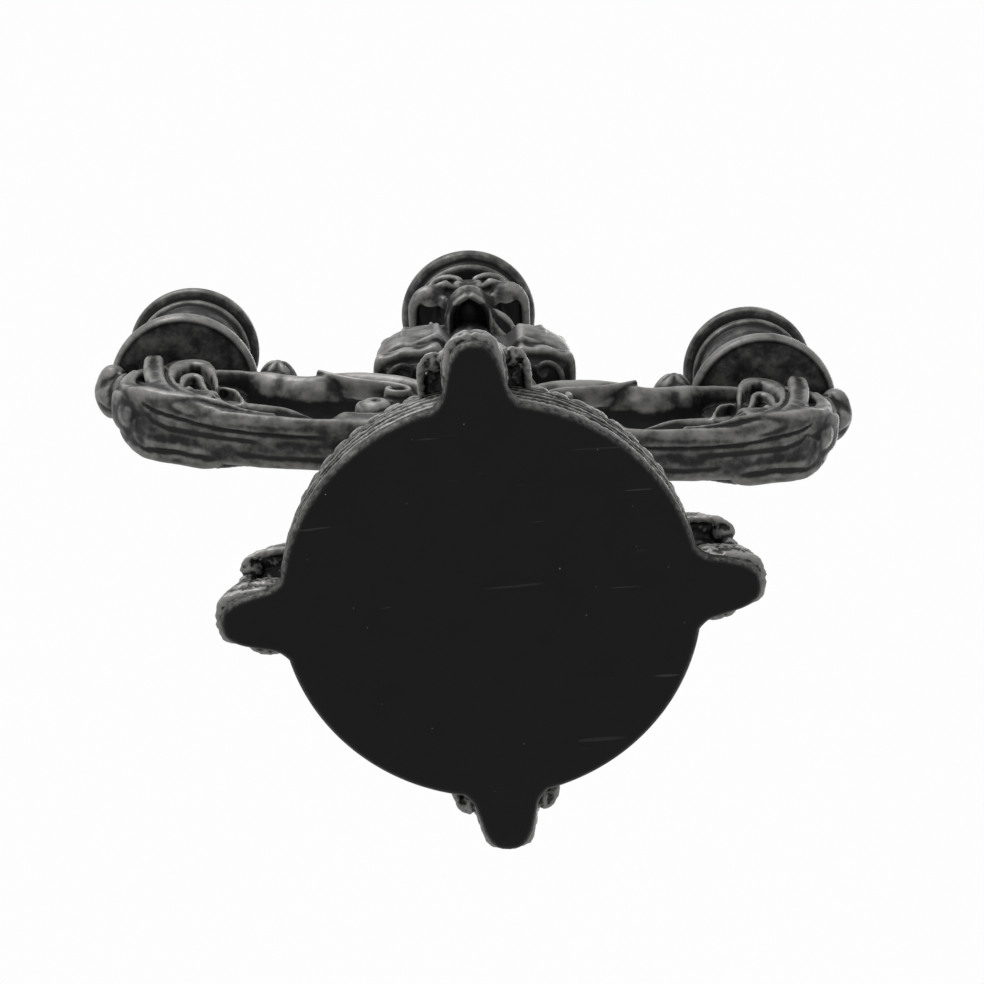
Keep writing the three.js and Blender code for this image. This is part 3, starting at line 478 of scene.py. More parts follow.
# Bare metal: its colour and roughness wander with a noise stretched along Z
def drawnMetal(name, dark, light, roughLow, roughHigh, stretch=0.1):
    material, tree, shader, where = newMaterial(name)
    along = addNode(tree, "ShaderNodeMapping", {"Vector": where, "Scale": (1, 1, stretch)}).outputs[0]
    grain = noise(tree, along, 2400, 4, 0.6)
    tree.links.new(colourMix(tree, grain, dark, light), shader.inputs["Base Color"])
    rough = addNode(tree, "ShaderNodeMapRange", {"Value": noise(tree, where, 300, 3), "To Min": roughLow, "To Max": roughHigh})
    tree.links.new(rough.outputs[0], shader.inputs["Roughness"])
    shader.inputs["Metallic"].default_value = 1.0
    bump = addNode(tree, "ShaderNodeBump", {"Strength": 0.2, "Distance": 0.00005, "Height": grain})
    tree.links.new(bump.outputs[0], shader.inputs["Normal"])
    return material


# Turned beech: rings are a wave across X warped by noise, flecks a stretched noise
def beechWood(name):
    material, tree, shader, where = newMaterial(name)
    rings = addNode(tree, "ShaderNodeTexWave", {"Vector": where, "Scale": 260, "Distortion": 3.0, "Detail": 3.0})
    flecks = noise(tree, addNode(tree, "ShaderNodeMapping", {"Vector": where, "Scale": (0.2, 1, 1)}).outputs[0], 3200, 2)
    mixed = maths(tree, "MULTIPLY_ADD", flecks, 0.5, maths(tree, "MULTIPLY", rings.outputs["Fac"], 0.5))
    tree.links.new(colourMix(tree, mixed, (0.36, 0.21, 0.1), (0.56, 0.37, 0.19)), shader.inputs["Base Color"])
    shader.inputs["Roughness"].default_value = 0.62
    return material


plainMaterials = {
    "steel": drawnMetal("plainSteel", (0.33, 0.34, 0.35), (0.5, 0.51, 0.52), 0.25, 0.4),
    "tin": drawnMetal("linerTin", (0.14, 0.14, 0.145), (0.26, 0.26, 0.27), 0.3, 0.5),
    "beech": beechWood("beech"),
}
print("finishes ready")


# base plate: flat underside with four lugs
plate = {
    "radius": 61.8, "lugReach": 79.4, "edge": 2.6, "sideEdge": 1.5, "top": 4.7, "around": 1200,
    "lugHalf": [(0, 0), (0.25, 2.4), (0.8, 3.8), (1.8, 5.2), (3.2, 6.2), (5.3, 7.2), (8.8, 8.2), (13, 9.2), (17.6, 10.2)],
    "filletReach": 4.5, "filletRise": 2.6,
}


# Radius of the plate's outline at an angle: the disc's, or where the lug's half width
# w(r) equals r sin(angle). w falls in a fillet, then in a taper to a round tip. The inset
# line is the flat's, inside the rounded edge.
def plateOutline(angle, s, inset):
    base, tip = s["radius"] - inset * s["edge"], s["lugReach"] - inset * s["edge"]
    r = np.linspace(base, tip, 500)
    away, half = np.array(s["lugHalf"]).T
    width = np.interp(tip - r, away, half) - inset * s["sideEdge"] * smoothStep(tip - r, 0, 3)
    width = width + s["filletRise"] * np.clip(1 - (r - base) / s["filletReach"], 0, 1) ** 2.2
    turn = np.arcsin(np.clip(width / r, 0, 1))
    near = np.abs((angle + math.pi / 4) % (math.pi / 2) - math.pi / 4)
    reach = np.interp(near, turn[::-1], r[::-1])
    return np.where(near > turn[0], base, reach)


def plateSurface(s):
    angle = np.arange(s["around"]) * 2 * math.pi / s["around"]
    outline = plateOutline(angle, s, 1)
    outer = plateOutline(angle, s, 0)
    share = np.r_[0.0, np.linspace(0.08, 0.9, 12), 0.96]
    rows = [(outline * k, 0.0 * angle) for k in share]
    for turn in np.linspace(0, math.pi / 2, 8):
        rows.append((outline + (outer - outline) * math.sin(turn), s["edge"] * (1 - math.cos(turn)) + 0 * angle))
    for z in (3.0, 3.6, 4.1):
        rows.append((outer, z + 0 * angle))
    for turn in np.linspace(0, math.pi / 2, 4)[1:]:
        rows.append((outer - 0.5 * (1 - math.cos(turn)), s["top"] - 0.5 + 0.5 * math.sin(turn) + 0 * angle))
    for k in (0.95, 0.8, 0.5, 0.1, 0.0):
        rows.append((outline * k, s["top"] + 0 * angle))
    radius = np.stack([r for r, _ in rows])
    z = np.stack([h for _, h in rows])
    return closedGrid(np.stack([radius * np.cos(angle), radius * np.sin(angle), z], -1))


finishPiece("basePlate", plateSurface(plate), underBlack, "base_black", ["base_plate"])

# base drum: a plain band and four rough ridges under a row of leaf tips
drum = {
    "bottom": 5.0, "top": 24.3, "radius": 61.8, "inner": 55.0, "around": 1024, "step": 0.56, "band": 7.6,
    "ridges": ((9.2, 0.9, 1.0), (12.2, 1.0, 1.15), (15.2, 0.9, 1.1), (18.0, 0.8, 1.0)),
    "groove": 0.9, "tips": 60, "tipRow": (19.2, 24.3), "tipRise": 0.7, "rough": 0.34,
}


# Ridges are bells across the height above a plain band, and the leaf tips are scallops
# that lean out over the top ridge.
def drumRelief(u, z, r, s):
    outside = smoothStep(r, s["radius"] - 4, s["radius"] - 2.4)
    out = 0.7 * (1 - smoothStep(z, s["band"] - 0.8, s["band"]))
    for height, width, rise in s["ridges"]:
        out = out + rise * bell(z - height, width) * (1 + 0.06 * np.sin(57 * u + height))
    low, high = s["tipRow"]
    t = (z - low) / (high - low)
    tip = np.abs(np.cos(u * s["tips"] / 2))
    scallop = np.clip(tip ** 0.7 - 0.9 * np.clip(0.55 - t, 0, 1), 0, 1) * smoothStep(t, 0, 0.25)
    out = out + s["tipRise"] * scallop - 0.35 * bell(tip, 0.3) * smoothStep(t, 0.1, 0.4)
    return out * outside


def drumSurface(s):
    b, t, r = s["bottom"], s["top"], s["radius"] - s["groove"]
    profile = [(s["inner"], b), (r - 0.8, b), (r, b + 0.8), (r, t - 1.6), (r - 1.6, t), (s["inner"], t)]
    relief = lambda u, z, radius: drumRelief(u, z, radius, s)
    return turned(profile, s["around"], relief, ring=True, step=s["step"])


points, quads, tris = drumSurface(drum)
points = roughened(points, quads, tris, drum["rough"])
finishPiece("baseDrum", (points, quads, tris), baseResin, "black_resin", ["base_drum"])


# leaves that lap round turned pieces
# Acanthus leaf as a closed sheet: a spine line gives place, half width, thickness and
# outward side. Across is u, along is t. The edge is lobed by a wave that leans towards
# the tip; the face has a raised midrib, a hollow on each side and veins between lobes.
def acanthus(spine, lobes=5, count=84, around=64, lobeDepth=0.24, vein=0.6, curl=0.9, endLength=(1.5, 1.2)):
    line = lineThrough(spine, count)
    place, halfWidth, thick = line[:, :3], line[:, 3], line[:, 4]
    along = unitRows(np.gradient(place, axis=0))
    side = unitRows(np.cross(along, line[:, 5:8]))
    out = np.cross(side, along)
    s = np.r_[0, np.cumsum(np.linalg.norm(np.diff(place, axis=0), axis=1))]
    t = (s / s[-1])[:, None]
    first = 1 - np.clip(s / endLength[0], 0, 1)
    last = 1 - np.clip((s[-1] - s) / endLength[1], 0, 1)
    shrink = (np.sqrt(np.clip(1 - first**2, 0, 1)) * np.sqrt(np.clip(1 - last**2, 0, 1)))[:, None]
    theta = np.arange(around)[None] * 2 * math.pi / around
    u, face = np.cos(theta), np.sin(theta)
    phase = lobes * (t - 0.16 * (1 - np.abs(u)))
    wave = np.abs(np.sin(math.pi * phase))
    wide = halfWidth[:, None] * (1 - lobeDepth * (1 - wave) * np.abs(u) ** 1.5) * shrink
    lift = thick[:, None] * np.sign(face) * np.abs(face) ** 0.6 * shrink
    relief = 0.75 * bell(u, 0.13) - 0.35 * bell(np.abs(u) - 0.35, 0.2) - vein * (1 - wave) ** 2 * smoothStep(np.abs(u), 0.1, 0.5)
    lift = lift + relief * np.clip(face, 0, 1) ** 0.5 * shrink
    lift = lift - curl * np.abs(u) ** 2.2 * shrink * (halfWidth[:, None] / 6)
    grid = place[:, None] + side[:, None] * (u * wide)[..., None] + out[:, None] * lift[..., None]
    return closedGrid(grid)


# base dome
dome = {
    "bottom": 24.6, "top": 57.6, "foot": 57.0, "head": 21.0, "leaves": 12, "voxel": 0.7,
    "profile": [(0, 24.6), (55.5, 24.6), (57, 25.6), (57, 28), (54.4, 29.4), (50, 31.2), (44, 34.6), (38, 39.2),
                (32, 44.6), (26.5, 49.8), (22.6, 53.4), (21.4, 54.6), (22.4, 55.4), (22.4, 56.8), (21, 57.6), (0, 57.6)],
}


def domeSurface(s):
    beads = lambda u, z, r: 0.5 * bell(z - 26.8, 1.0) * np.cos(u * 48) * (r > 50)
    parts = [turned(rounded(s["profile"], 1.2), 384, beads, step=0.6)]
    long = [[23.4, 0, 53.4, 1.8, 0.9, 0.75, 0, 0.66], [30, 0, 47.8, 4.2, 1.2, 0.6, 0, 0.8],
            [38.5, 0, 40.6, 6.4, 1.4, 0.55, 0, 0.83], [46.5, 0, 35.4, 6.8, 1.4, 0.45, 0, 0.89],
            [52.5, 0, 33.0, 4.6, 1.3, 0.3, 0, 0.95], [56.4, 0, 34.2, 2.2, 1.2, -0.2, 0, 0.98]]
    short = [[38, 0, 40.2, 2.0, 0.8, 0.55, 0, 0.83], [45, 0, 35.3, 3.6, 1.0, 0.45, 0, 0.89],
             [51.5, 0, 32.0, 3.4, 1.0, 0.35, 0, 0.93], [55.8, 0, 30.6, 1.8, 0.9, 0.1, 0, 1.0]]
    for k in range(s["leaves"]):
        turn = 360 * k / s["leaves"]
        parts.append(moved(acanthus(long, 6), turnAboutZ(turn)))
        parts.append(moved(acanthus(short, 4), turnAboutZ(turn + 180 / s["leaves"])))
    points, quads, tris = voxelSkin(parts, s["voxel"])
    edges = edgesOf(quads, tris)
    return (evened(points, edges, 2), quads, tris), edges


surface, edges = domeSurface(dome)
finishPiece("baseDome", surface, baseResin, "black_resin", ["base_dome"], edges)

# stem: vase, knop and column
stem = {
    "voxel": 0.56,
    "vase": [(0, 57.9), (18.4, 57.9), (20.0, 59.0), (20.0, 61.0), (18.4, 62.2), (15.4, 63.8), (14.2, 66.5), (14.6, 70.5),
             (17.2, 75.4), (19.4, 80.6), (18.6, 86.4), (16.2, 91.6), (14.4, 95.6), (14.2, 98), (15.6, 98.8), (16, 99.8),
             (16, 101.2), (15.2, 101.9), (0, 101.9)],
    "knop": [(0, 102.2), (14.6, 102.2), (15.4, 103), (16.4, 104.4), (17.4, 106), (17.5, 107.7), (17.4, 109.4),
             (16.4, 111), (15.4, 112.4), (14.6, 113.2), (0, 113.2)],
    "column": [(0, 113.5), (15.2, 113.5), (15.5, 114.3), (15.5, 116), (14.2, 117), (13.2, 118.4), (12.6, 121.5), (12.6, 128),
               (13.3, 133.5), (14.6, 136.4), (16.3, 138.8), (16.5, 140), (16.5, 141.8), (15.8, 142.5), (0, 142.5)],
    "leaves": 8, "gadroons": 14, "flutes": 12,
}


# Relief on turned pieces: beads are a raised cosine along a ridge, gadroons the
# modulus of a cosine that leans with height, flutes its square root turned inside out.
def vaseSurface(s):
    beads = lambda u, z, r: 0.45 * (bell(z - 60, 0.9) + bell(z - 100.5, 0.8)) * np.cos(u * 30) * (r > 12)
    parts = [turned(rounded(s["vase"], 0.9), 240, beads, step=0.5)]
    tall = [[14.0, 0, 66.6, 3.0, 0.8, 1, 0, 0], [16.4, 0, 72.5, 4.8, 0.9, 0.93, 0, -0.36], [19.3, 0, 79.6, 5.6, 1.0, 1, 0, 0],
            [18.6, 0, 85.6, 4.6, 1.0, 0.96, 0, 0.25], [17.6, 0, 90.4, 3.0, 0.9, 0.9, 0, 0.3], [19.3, 0, 93.4, 1.6, 0.8, 0.6, 0, -0.8]]
    low = [[14.4, 0, 65.2, 2.6, 0.7, 1, 0, 0], [15.4, 0, 70.4, 3.2, 0.8, 0.93, 0, -0.36], [18.2, 0, 76.0, 3.0, 0.8, 0.9, 0, -0.4],
            [20.0, 0, 80.2, 1.6, 0.8, 0.8, 0, -0.6]]
    for k in range(s["leaves"]):
        parts.append(moved(acanthus(tall, 6), turnAboutZ(360 * k / s["leaves"])))
        parts.append(moved(acanthus(low, 4), turnAboutZ(360 * (k + 0.5) / s["leaves"])))
    return parts


def knopSurface(s):
    lobes = lambda u, z, r: (0.75 * np.sqrt(np.abs(np.cos(s["gadroons"] / 2 * u + 0.22 * (z - 107.7)))) - 0.3) * (r > 14)
    return [turned(rounded(s["knop"], 0.8), 288, lobes, step=0.4)]


def columnSurface(s):
    def relief(u, z, r):
        flute = 0.9 * (1 - np.sqrt(np.abs(np.sin(s["flutes"] / 2 * u)))) * smoothStep(z, 119.5, 122) * (1 - smoothStep(z, 131, 134))
        return (0.4 * bell(z - 115.2, 0.8) * np.cos(u * 28) - flute) * (r > 8)
    parts = [turned(rounded(s["column"], 0.8), 288, relief, step=0.45)]
    leaf = [[13.4, 0, 129.5, 1.6, 0.6, 1, 0, 0], [14.2, 0, 133.5, 2.8, 0.8, 0.95, 0, -0.3], [16.2, 0, 137.4, 2.8, 0.8, 0.8, 0, -0.6],
            [17.8, 0, 139.4, 1.4, 0.7, 0.5, 0, -0.85]]
    for k in range(s["flutes"]):
        parts.append(moved(acanthus(leaf, 3, 48, 40), turnAboutZ(360 * (k + 0.5) / s["flutes"])))
    return parts


def castPiece(name, parts, voxel, material, nodes, steps=2, change=None, **marks):
    points, quads, tris = voxelSkin(parts, voxel)
    edges = edgesOf(quads, tris)
    points = evened(points, edges, steps)
    if change is not None:
        points = change(points)
    return finishPiece(name, (points, quads, tris), material, "black_resin", nodes, edges, **marks)


castPiece("stemVase", vaseSurface(stem), stem["voxel"], blackResin, ["stem_vase"])
castPiece("stemKnop", knopSurface(stem), stem["voxel"], blackResin, ["stem_knop"])
castPiece("stemColumn", columnSurface(stem), stem["voxel"], blackResin, ["stem_column"])

# hub between the arms, with two curls under the shoulder in front and behind
hub = {
    "voxel": 0.58, "twist": 6.5, "flat": 16.7, "flatHalf": 9.8, "flatHeights": (148.5, 185.1),
    "profile": [(0, 142.8), (15.4, 142.8), (16.4, 144), (18.2, 146.2), (18.2, 148.2), (17.2, 149.2), (17.6, 152), (17.8, 196),
                (18.8, 199), (19.4, 201.6), (20, 203), (20, 206), (19.4, 206.8), (0, 206.8)],
    "curl": [(19.5, 184.5), (21.2, 190.5), (17.6, 197.4), (12.4, 198.2), (9.6, 194.4), (11.4, 190.8), (14.8, 191.6), (14.4, 194.4)],
}


# Ring of upright leaves round the hub, flat where an arm's root stands on it
def hubParts(s):
    beads = lambda u, z, r: (0.4 * bell(z - 147.2, 0.8) * np.cos(u * 32) + 0.35 * bell(z - 204.4, 0.9) * np.cos(u * 30)) * (r > 12)
    parts = [turned(rounded(s["profile"], 0.8), 256, beads, step=0.5)]
    leaf = [[17.2, 0, 150.2, 3.2, 0.7, 1, 0, 0], [17.8, 0, 158, 4.4, 0.9, 1, 0, 0], [18.2, 0, 167, 4.8, 1.0, 1, 0, 0],
            [18.4, 0, 175, 3.8, 0.9, 1, 0, 0.1], [19.2, 0, 181, 2.2, 0.9, 0.8, 0, -0.5], [20.6, 0, 183.4, 1.2, 0.8, 0.3, 0, -0.9]]
    for turn in (-90, -58, -122, 90, 58, 122):
        parts.append(moved(acanthus(leaf, 6), turnAboutZ(turn)))
    for front in (-1, 1):
        for side in (-1, 1):
            rows = []
            for k, (x, z) in enumerate(s["curl"]):
                y = -math.sqrt(max(21.6**2 - x * x, 60)) + 0.5
                y = max(y, -19.6)
                rows.append([side * x, front * -y * -1, z, 2.2 - 0.13 * k, 1.9, 0.35 * side * x / 20, -front, 0])
            parts.append(band(rows, 90, 32, 0.8, lambda u, t: 0.5 * smoothStep(np.abs(u), 0.45, 0.8) - 0.3 * bell(u, 0.3)))
    return parts


def hubFlats(points, s=hub):
    back = points @ turnAboutZ(s["twist"])
    level = (back[:, 2] > s["flatHeights"][0]) & (back[:, 2] < s["flatHeights"][1]) & (np.abs(back[:, 1]) < s["flatHalf"])
    back[:, 0] = np.where(level, np.clip(back[:, 0], -s["flat"], s["flat"]), back[:, 0])
    return back @ turnAboutZ(s["twist"]).T


castPiece("armHub", [moved(p, turnAboutZ(hub["twist"])) for p in hubParts(hub)], hub["voxel"], blackResin, ["arm_hub"], 2, hubFlats)

# shoulder: abacus with a bowed front and back, bell of leaves and neck
shoulder = {
    "voxel": 0.58, "twist": 3.5, "bellDepth": 29.0, "bellRadius": 37.0, "halfWidth": 37.0, "halfDepth": 21.0, "corner": 4.0, "bow": 3.75,
    "edge": [(12, 207.1), (6.6, 207.1), (5.8, 207.5), (5.4, 208.4), (5.2, 209.6), (4.4, 210.3), (1.8, 210.6), (0.7, 211.0),
             (0.0, 212.0), (0.0, 215.2), (0.3, 216.2), (1.2, 217.1), (7, 217.1)],
    "curl": [(31.0, -5), (31.3, -9.6), (29.4, -13.0), (26.2, -14.4), (23.6, -13.4), (23.2, -11.0), (24.8, -9.8), (26.2, -11.0)],
    "niche": 0.28, "shoulderDepth": 22.0,
    "bell": [(0, 215.6), (29.5, 215.6), (31.5, 217), (33.6, 220), (34.6, 223.6), (34.8, 228), (34.2, 232), (33.0, 238),
             (30.6, 246), (26.6, 254), (21.2, 261.4), (15.6, 267), (12.0, 271.5), (0, 272)],
    "leaves": 8,
}


# Abacus outline by angle: front and back are parabolas between rounded corners. Each
# level of the edge profile is that outline moved in along its own normal.
def abacusSurface(s):
    w, d, c = s["halfWidth"], s["halfDepth"], s["corner"]
    t = np.linspace(0, 1, 140, endpoint=False)[:, None]
    k = np.linspace(0, 1, 24, endpoint=False)[:, None]
    curve = lambda a, b, e, t: (1 - t) ** 2 * np.array(a) + 2 * t * (1 - t) * np.array(b) + t * t * np.array(e)
    front = curve((-w + c, -d + c), (0, -d - c), (w - c, -d + c), t)
    corner = curve((w - c, -d + c), (w, -d + c), (w, -d + 3 * c), k)
    side = curve((w, -d + 3 * c), (w, 0), (w, d - 3 * c), np.linspace(0, 1, 48, endpoint=False)[:, None])
    flip = curve((w, d - 3 * c), (w, d - c), (w - c, d - c), k)
    half = np.concatenate([front, corner, side, flip])
    outline = np.concatenate([half, -half])
    run = np.roll(outline, -1, 0) - np.roll(outline, 1, 0)
    normal = unitRows(np.stack([run[:, 1], -run[:, 0]], -1))
    rows = [np.c_[outline * 0.02, np.full(len(outline), s["edge"][0][1])]]
    for inset, z in s["edge"]:
        rows.append(np.c_[outline - normal * inset, np.full(len(outline), z)])
    rows.append(np.c_[outline * 0.02, np.full(len(outline), s["edge"][-1][1])])
    return closedGrid(np.stack(rows))


def shoulderParts(s):
    widen = s["bellRadius"] / s["bell"][4][0]
    squash = np.diag([widen, s["bellDepth"] / s["bell"][4][0], 1])
    parts = [abacusSurface(s), moved(turned(rounded(s["bell"], 1.0), 320, None, step=0.6), squash)]
    curl = band([[x, y, 207.4, 1.2 - 0.08 * k, 1.3, 0, 0, -1] for k, (x, y) in enumerate(s["curl"])], 110, 32, 0.8)
    for piece in mirroredPair([curl]):
        parts += [piece, mirrored(piece, 0)]
    neck = [(0, 250), (11.0, 250), (11.0, 289.6), (10.4, 290.1), (0, 290.1)]
    parts.append(turned(neck, 160, lambda u, z, r: 0.3 * np.cos(u * 12) * (r > 8) * (1 - smoothStep(z, 274, 276)), step=0.7))
    tall = [[33.0, 0, 224, 4.6, 0.7, 1, 0, 0.1], [33.2, 0, 230, 6.4, 0.9, 1, 0, 0.1], [32.3, 0, 238, 7.2, 1.0, 1, 0, 0.25],
            [29.6, 0, 246.5, 6.4, 1.0, 0.92, 0, 0.4], [25.8, 0, 254, 4.6, 0.9, 0.8, 0, 0.5], [22.6, 0, 259.2, 2.6, 0.8, 0.8, 0, 0.5],
            [21.6, 0, 262.6, 1.4, 0.8, 0.9, 0, 0.1]]
    low = [[33.4, 0, 222.6, 3.6, 0.6, 1, 0, 0], [33.9, 0, 227, 4.6, 0.8, 1, 0, 0], [33.6, 0, 232.5, 4.2, 0.9, 1, 0, 0.1],
           [33.0, 0, 238, 2.6, 0.8, 0.95, 0, 0.1], [33.2, 0, 240.6, 1.4, 0.8, 0.6, 0, -0.5]]
    inner = [[22.5, 0, 258.6, 2.8, 0.7, 0.8, 0, 0.6], [18.0, 0, 264.0, 3.0, 0.7, 0.75, 0, 0.65], [15.2, 0, 266.8, 2.2, 0.7, 0.9, 0, 0.4],
             [13.4, 0, 268.8, 1.0, 0.6, 1, 0, 0]]
    for k in range(s["leaves"]):
        turn = 360 * (k + 0.5) / s["leaves"]
        parts.append(moved(moved(acanthus(tall, 7), turnAboutZ(turn)), squash))
        parts.append(moved(moved(acanthus(low, 4), turnAboutZ(turn + 180 / s["leaves"])), squash))
        parts.append(moved(moved(acanthus(inner, 4), turnAboutZ(turn + 180 / s["leaves"])), np.diag([1, 0.8, 1])))
    return parts


# The bell's plan turns from an ellipse to a squarer curve, y = depth (1 - u^4)^(1/4) with u
# the share of the width. Its front is a niche between the shoulders: the surface moves in
# by a share of its own depth, and painted shade keeps it black there.
def shoulderPiece(s):
    points, quads, tris = voxelSkin(shoulderParts(s), s["voxel"])
    edges = edgesOf(quads, tris)
    points = evened(points, edges, 2)
    x, y, z = points.T
    niche = (1 - smoothStep(np.abs(x - 2), 9.6, 16.0)) * (1 - smoothStep(z, 266, 273)) * (y < 0)
    share = np.hypot(x / s["bellRadius"], y / s["bellDepth"])
    u = np.clip(np.abs(x) / (s["bellRadius"] * np.maximum(share, 0.01)), 0, 0.999)
    square = s["shoulderDepth"] / s["bellDepth"] * (1 - u**4) ** 0.25 / np.sqrt(1 - u**2)
    y = y * (1 + (np.minimum(square, 1.7) - 1) * smoothStep(z, 216.5, 220) * smoothStep(share, 0.42, 0.7))
    wave = 0.6 * np.sin(0.55 * np.abs(x)) * bell(z - 213.6, 2.6) * smoothStep(np.abs(y), 8, 14) * np.sign(y)
    points[:, 1] = y * (1 - s["niche"] * niche) + wave
    # Painted shade: the centre front between the shoulders has its raised value pushed down, so it takes no silver rub
    # and stays black.
    inner = (1 - smoothStep(np.abs(x - 2), 10, 15.5)) * smoothStep(z, 205, 208) * (1 - smoothStep(y, 0, 4))
    raised = standOut(points, quads, tris, edges, 8, 60, 0.16, 0.8) - 1.6 * inner
    # Painted highlight: outside the centre, everything above the ledge's lower edge takes more silver rub. Painted
    # shade: the underside below it has its raised value pushed down so it stays black.
    raised += 0.38 * smoothStep(np.abs(x), 15, 18) * smoothStep(z, 211, 212.5) - 0.7 * (1 - smoothStep(z, 209.5, 210.8))
    placed = moved((points, quads, tris), turnAboutZ(s["twist"]))
    finishPiece("shoulderBell", placed, blackResin, "black_resin", ["shoulder"], edges, raised=raised)


shoulderPiece(shoulder)

# skull, at foot size: the face looks along -Y and the teeth start at height 0
skull = {
    "voxel": 0.46, "fine": 0.47, "cranium": ((0, 1.6, 22.9), (14.3, 16.4, 15.1)),
    "socket": ((5.9, -14.6, 18.7), (4.1, 8.2, 3.7)), "nose": ((1.45, -15.6, 12.9), (1.25, 6.5, 3.3)),
    "brow": 1.0, "bridge": 0.0, "nape": True, "wisps": [], "floor": (7.2, 9.6, 1.9),
    "arch": [(6.4, 0.5, 6.6), (6.9, -4.5, 6.4), (6.7, -9.0, 6.2), (5.3, -13.2, 6.1), (2.9, -15.7, 6.1), (0, -16.4, 6.1)],
    "teeth": [(6.9, -4.6, 1.5, 1.25), (7.0, -7.1, 1.5, 1.2), (6.8, -9.7, 1.35, 1.15), (6.1, -11.9, 1.2, 1.1), (4.9, -13.9, 1.2, 1.15),
              (3.2, -15.4, 1.15, 1.0), (1.15, -16.3, 1.3, 0.95)],
}


# Cranium: an ellipsoid with hollow temples, full parietal bones and a nape bump. Every
# bump is a bell over the angle between the direction and the bump's own direction.
def craniumShape(d):
    def bump(x, y, z, width):
        aim = unitRows(np.array([x, y, z], float))
        one = bell(np.linalg.norm(d - aim, axis=-1), width)
        two = bell(np.linalg.norm(d - aim * [-1, 1, 1], axis=-1), width)
        return np.maximum(one, two)
    size = 1 + 0.035 * bump(0.72, 0.45, 0.5, 0.5) + 0.06 * bump(0, 0.96, -0.25, 0.35) + 0.03 * bump(0.35, -0.8, 0.5, 0.35)
    size = size - 0.15 * bump(0.86, -0.62, -0.05, 0.34) - 0.05 * bump(0.9, 0.1, -0.5, 0.4)
    return size - 0.13 * smoothStep(-d[..., 2], 0.62, 1.0)


def tube(points, radii, count=40, around=20, squash=1.0):
    rows = []
    p = np.asarray(points, float)
    step = np.gradient(p, axis=0)
    for k, (place, run) in enumerate(zip(p, step)):
        r = radii[k] if np.ndim(radii) else radii
        aim = np.cross(run, (0.31, 0.22, 0.93)) if abs(run[2]) < 0.9 * np.linalg.norm(run) else np.cross(run, (0.9, 0.2, 0.1))
        rows.append([*place, r, r * squash, *aim])
    return band(rows, count, around, 1.0, endLength=(np.ravel(radii)[0], np.ravel(radii)[-1]))


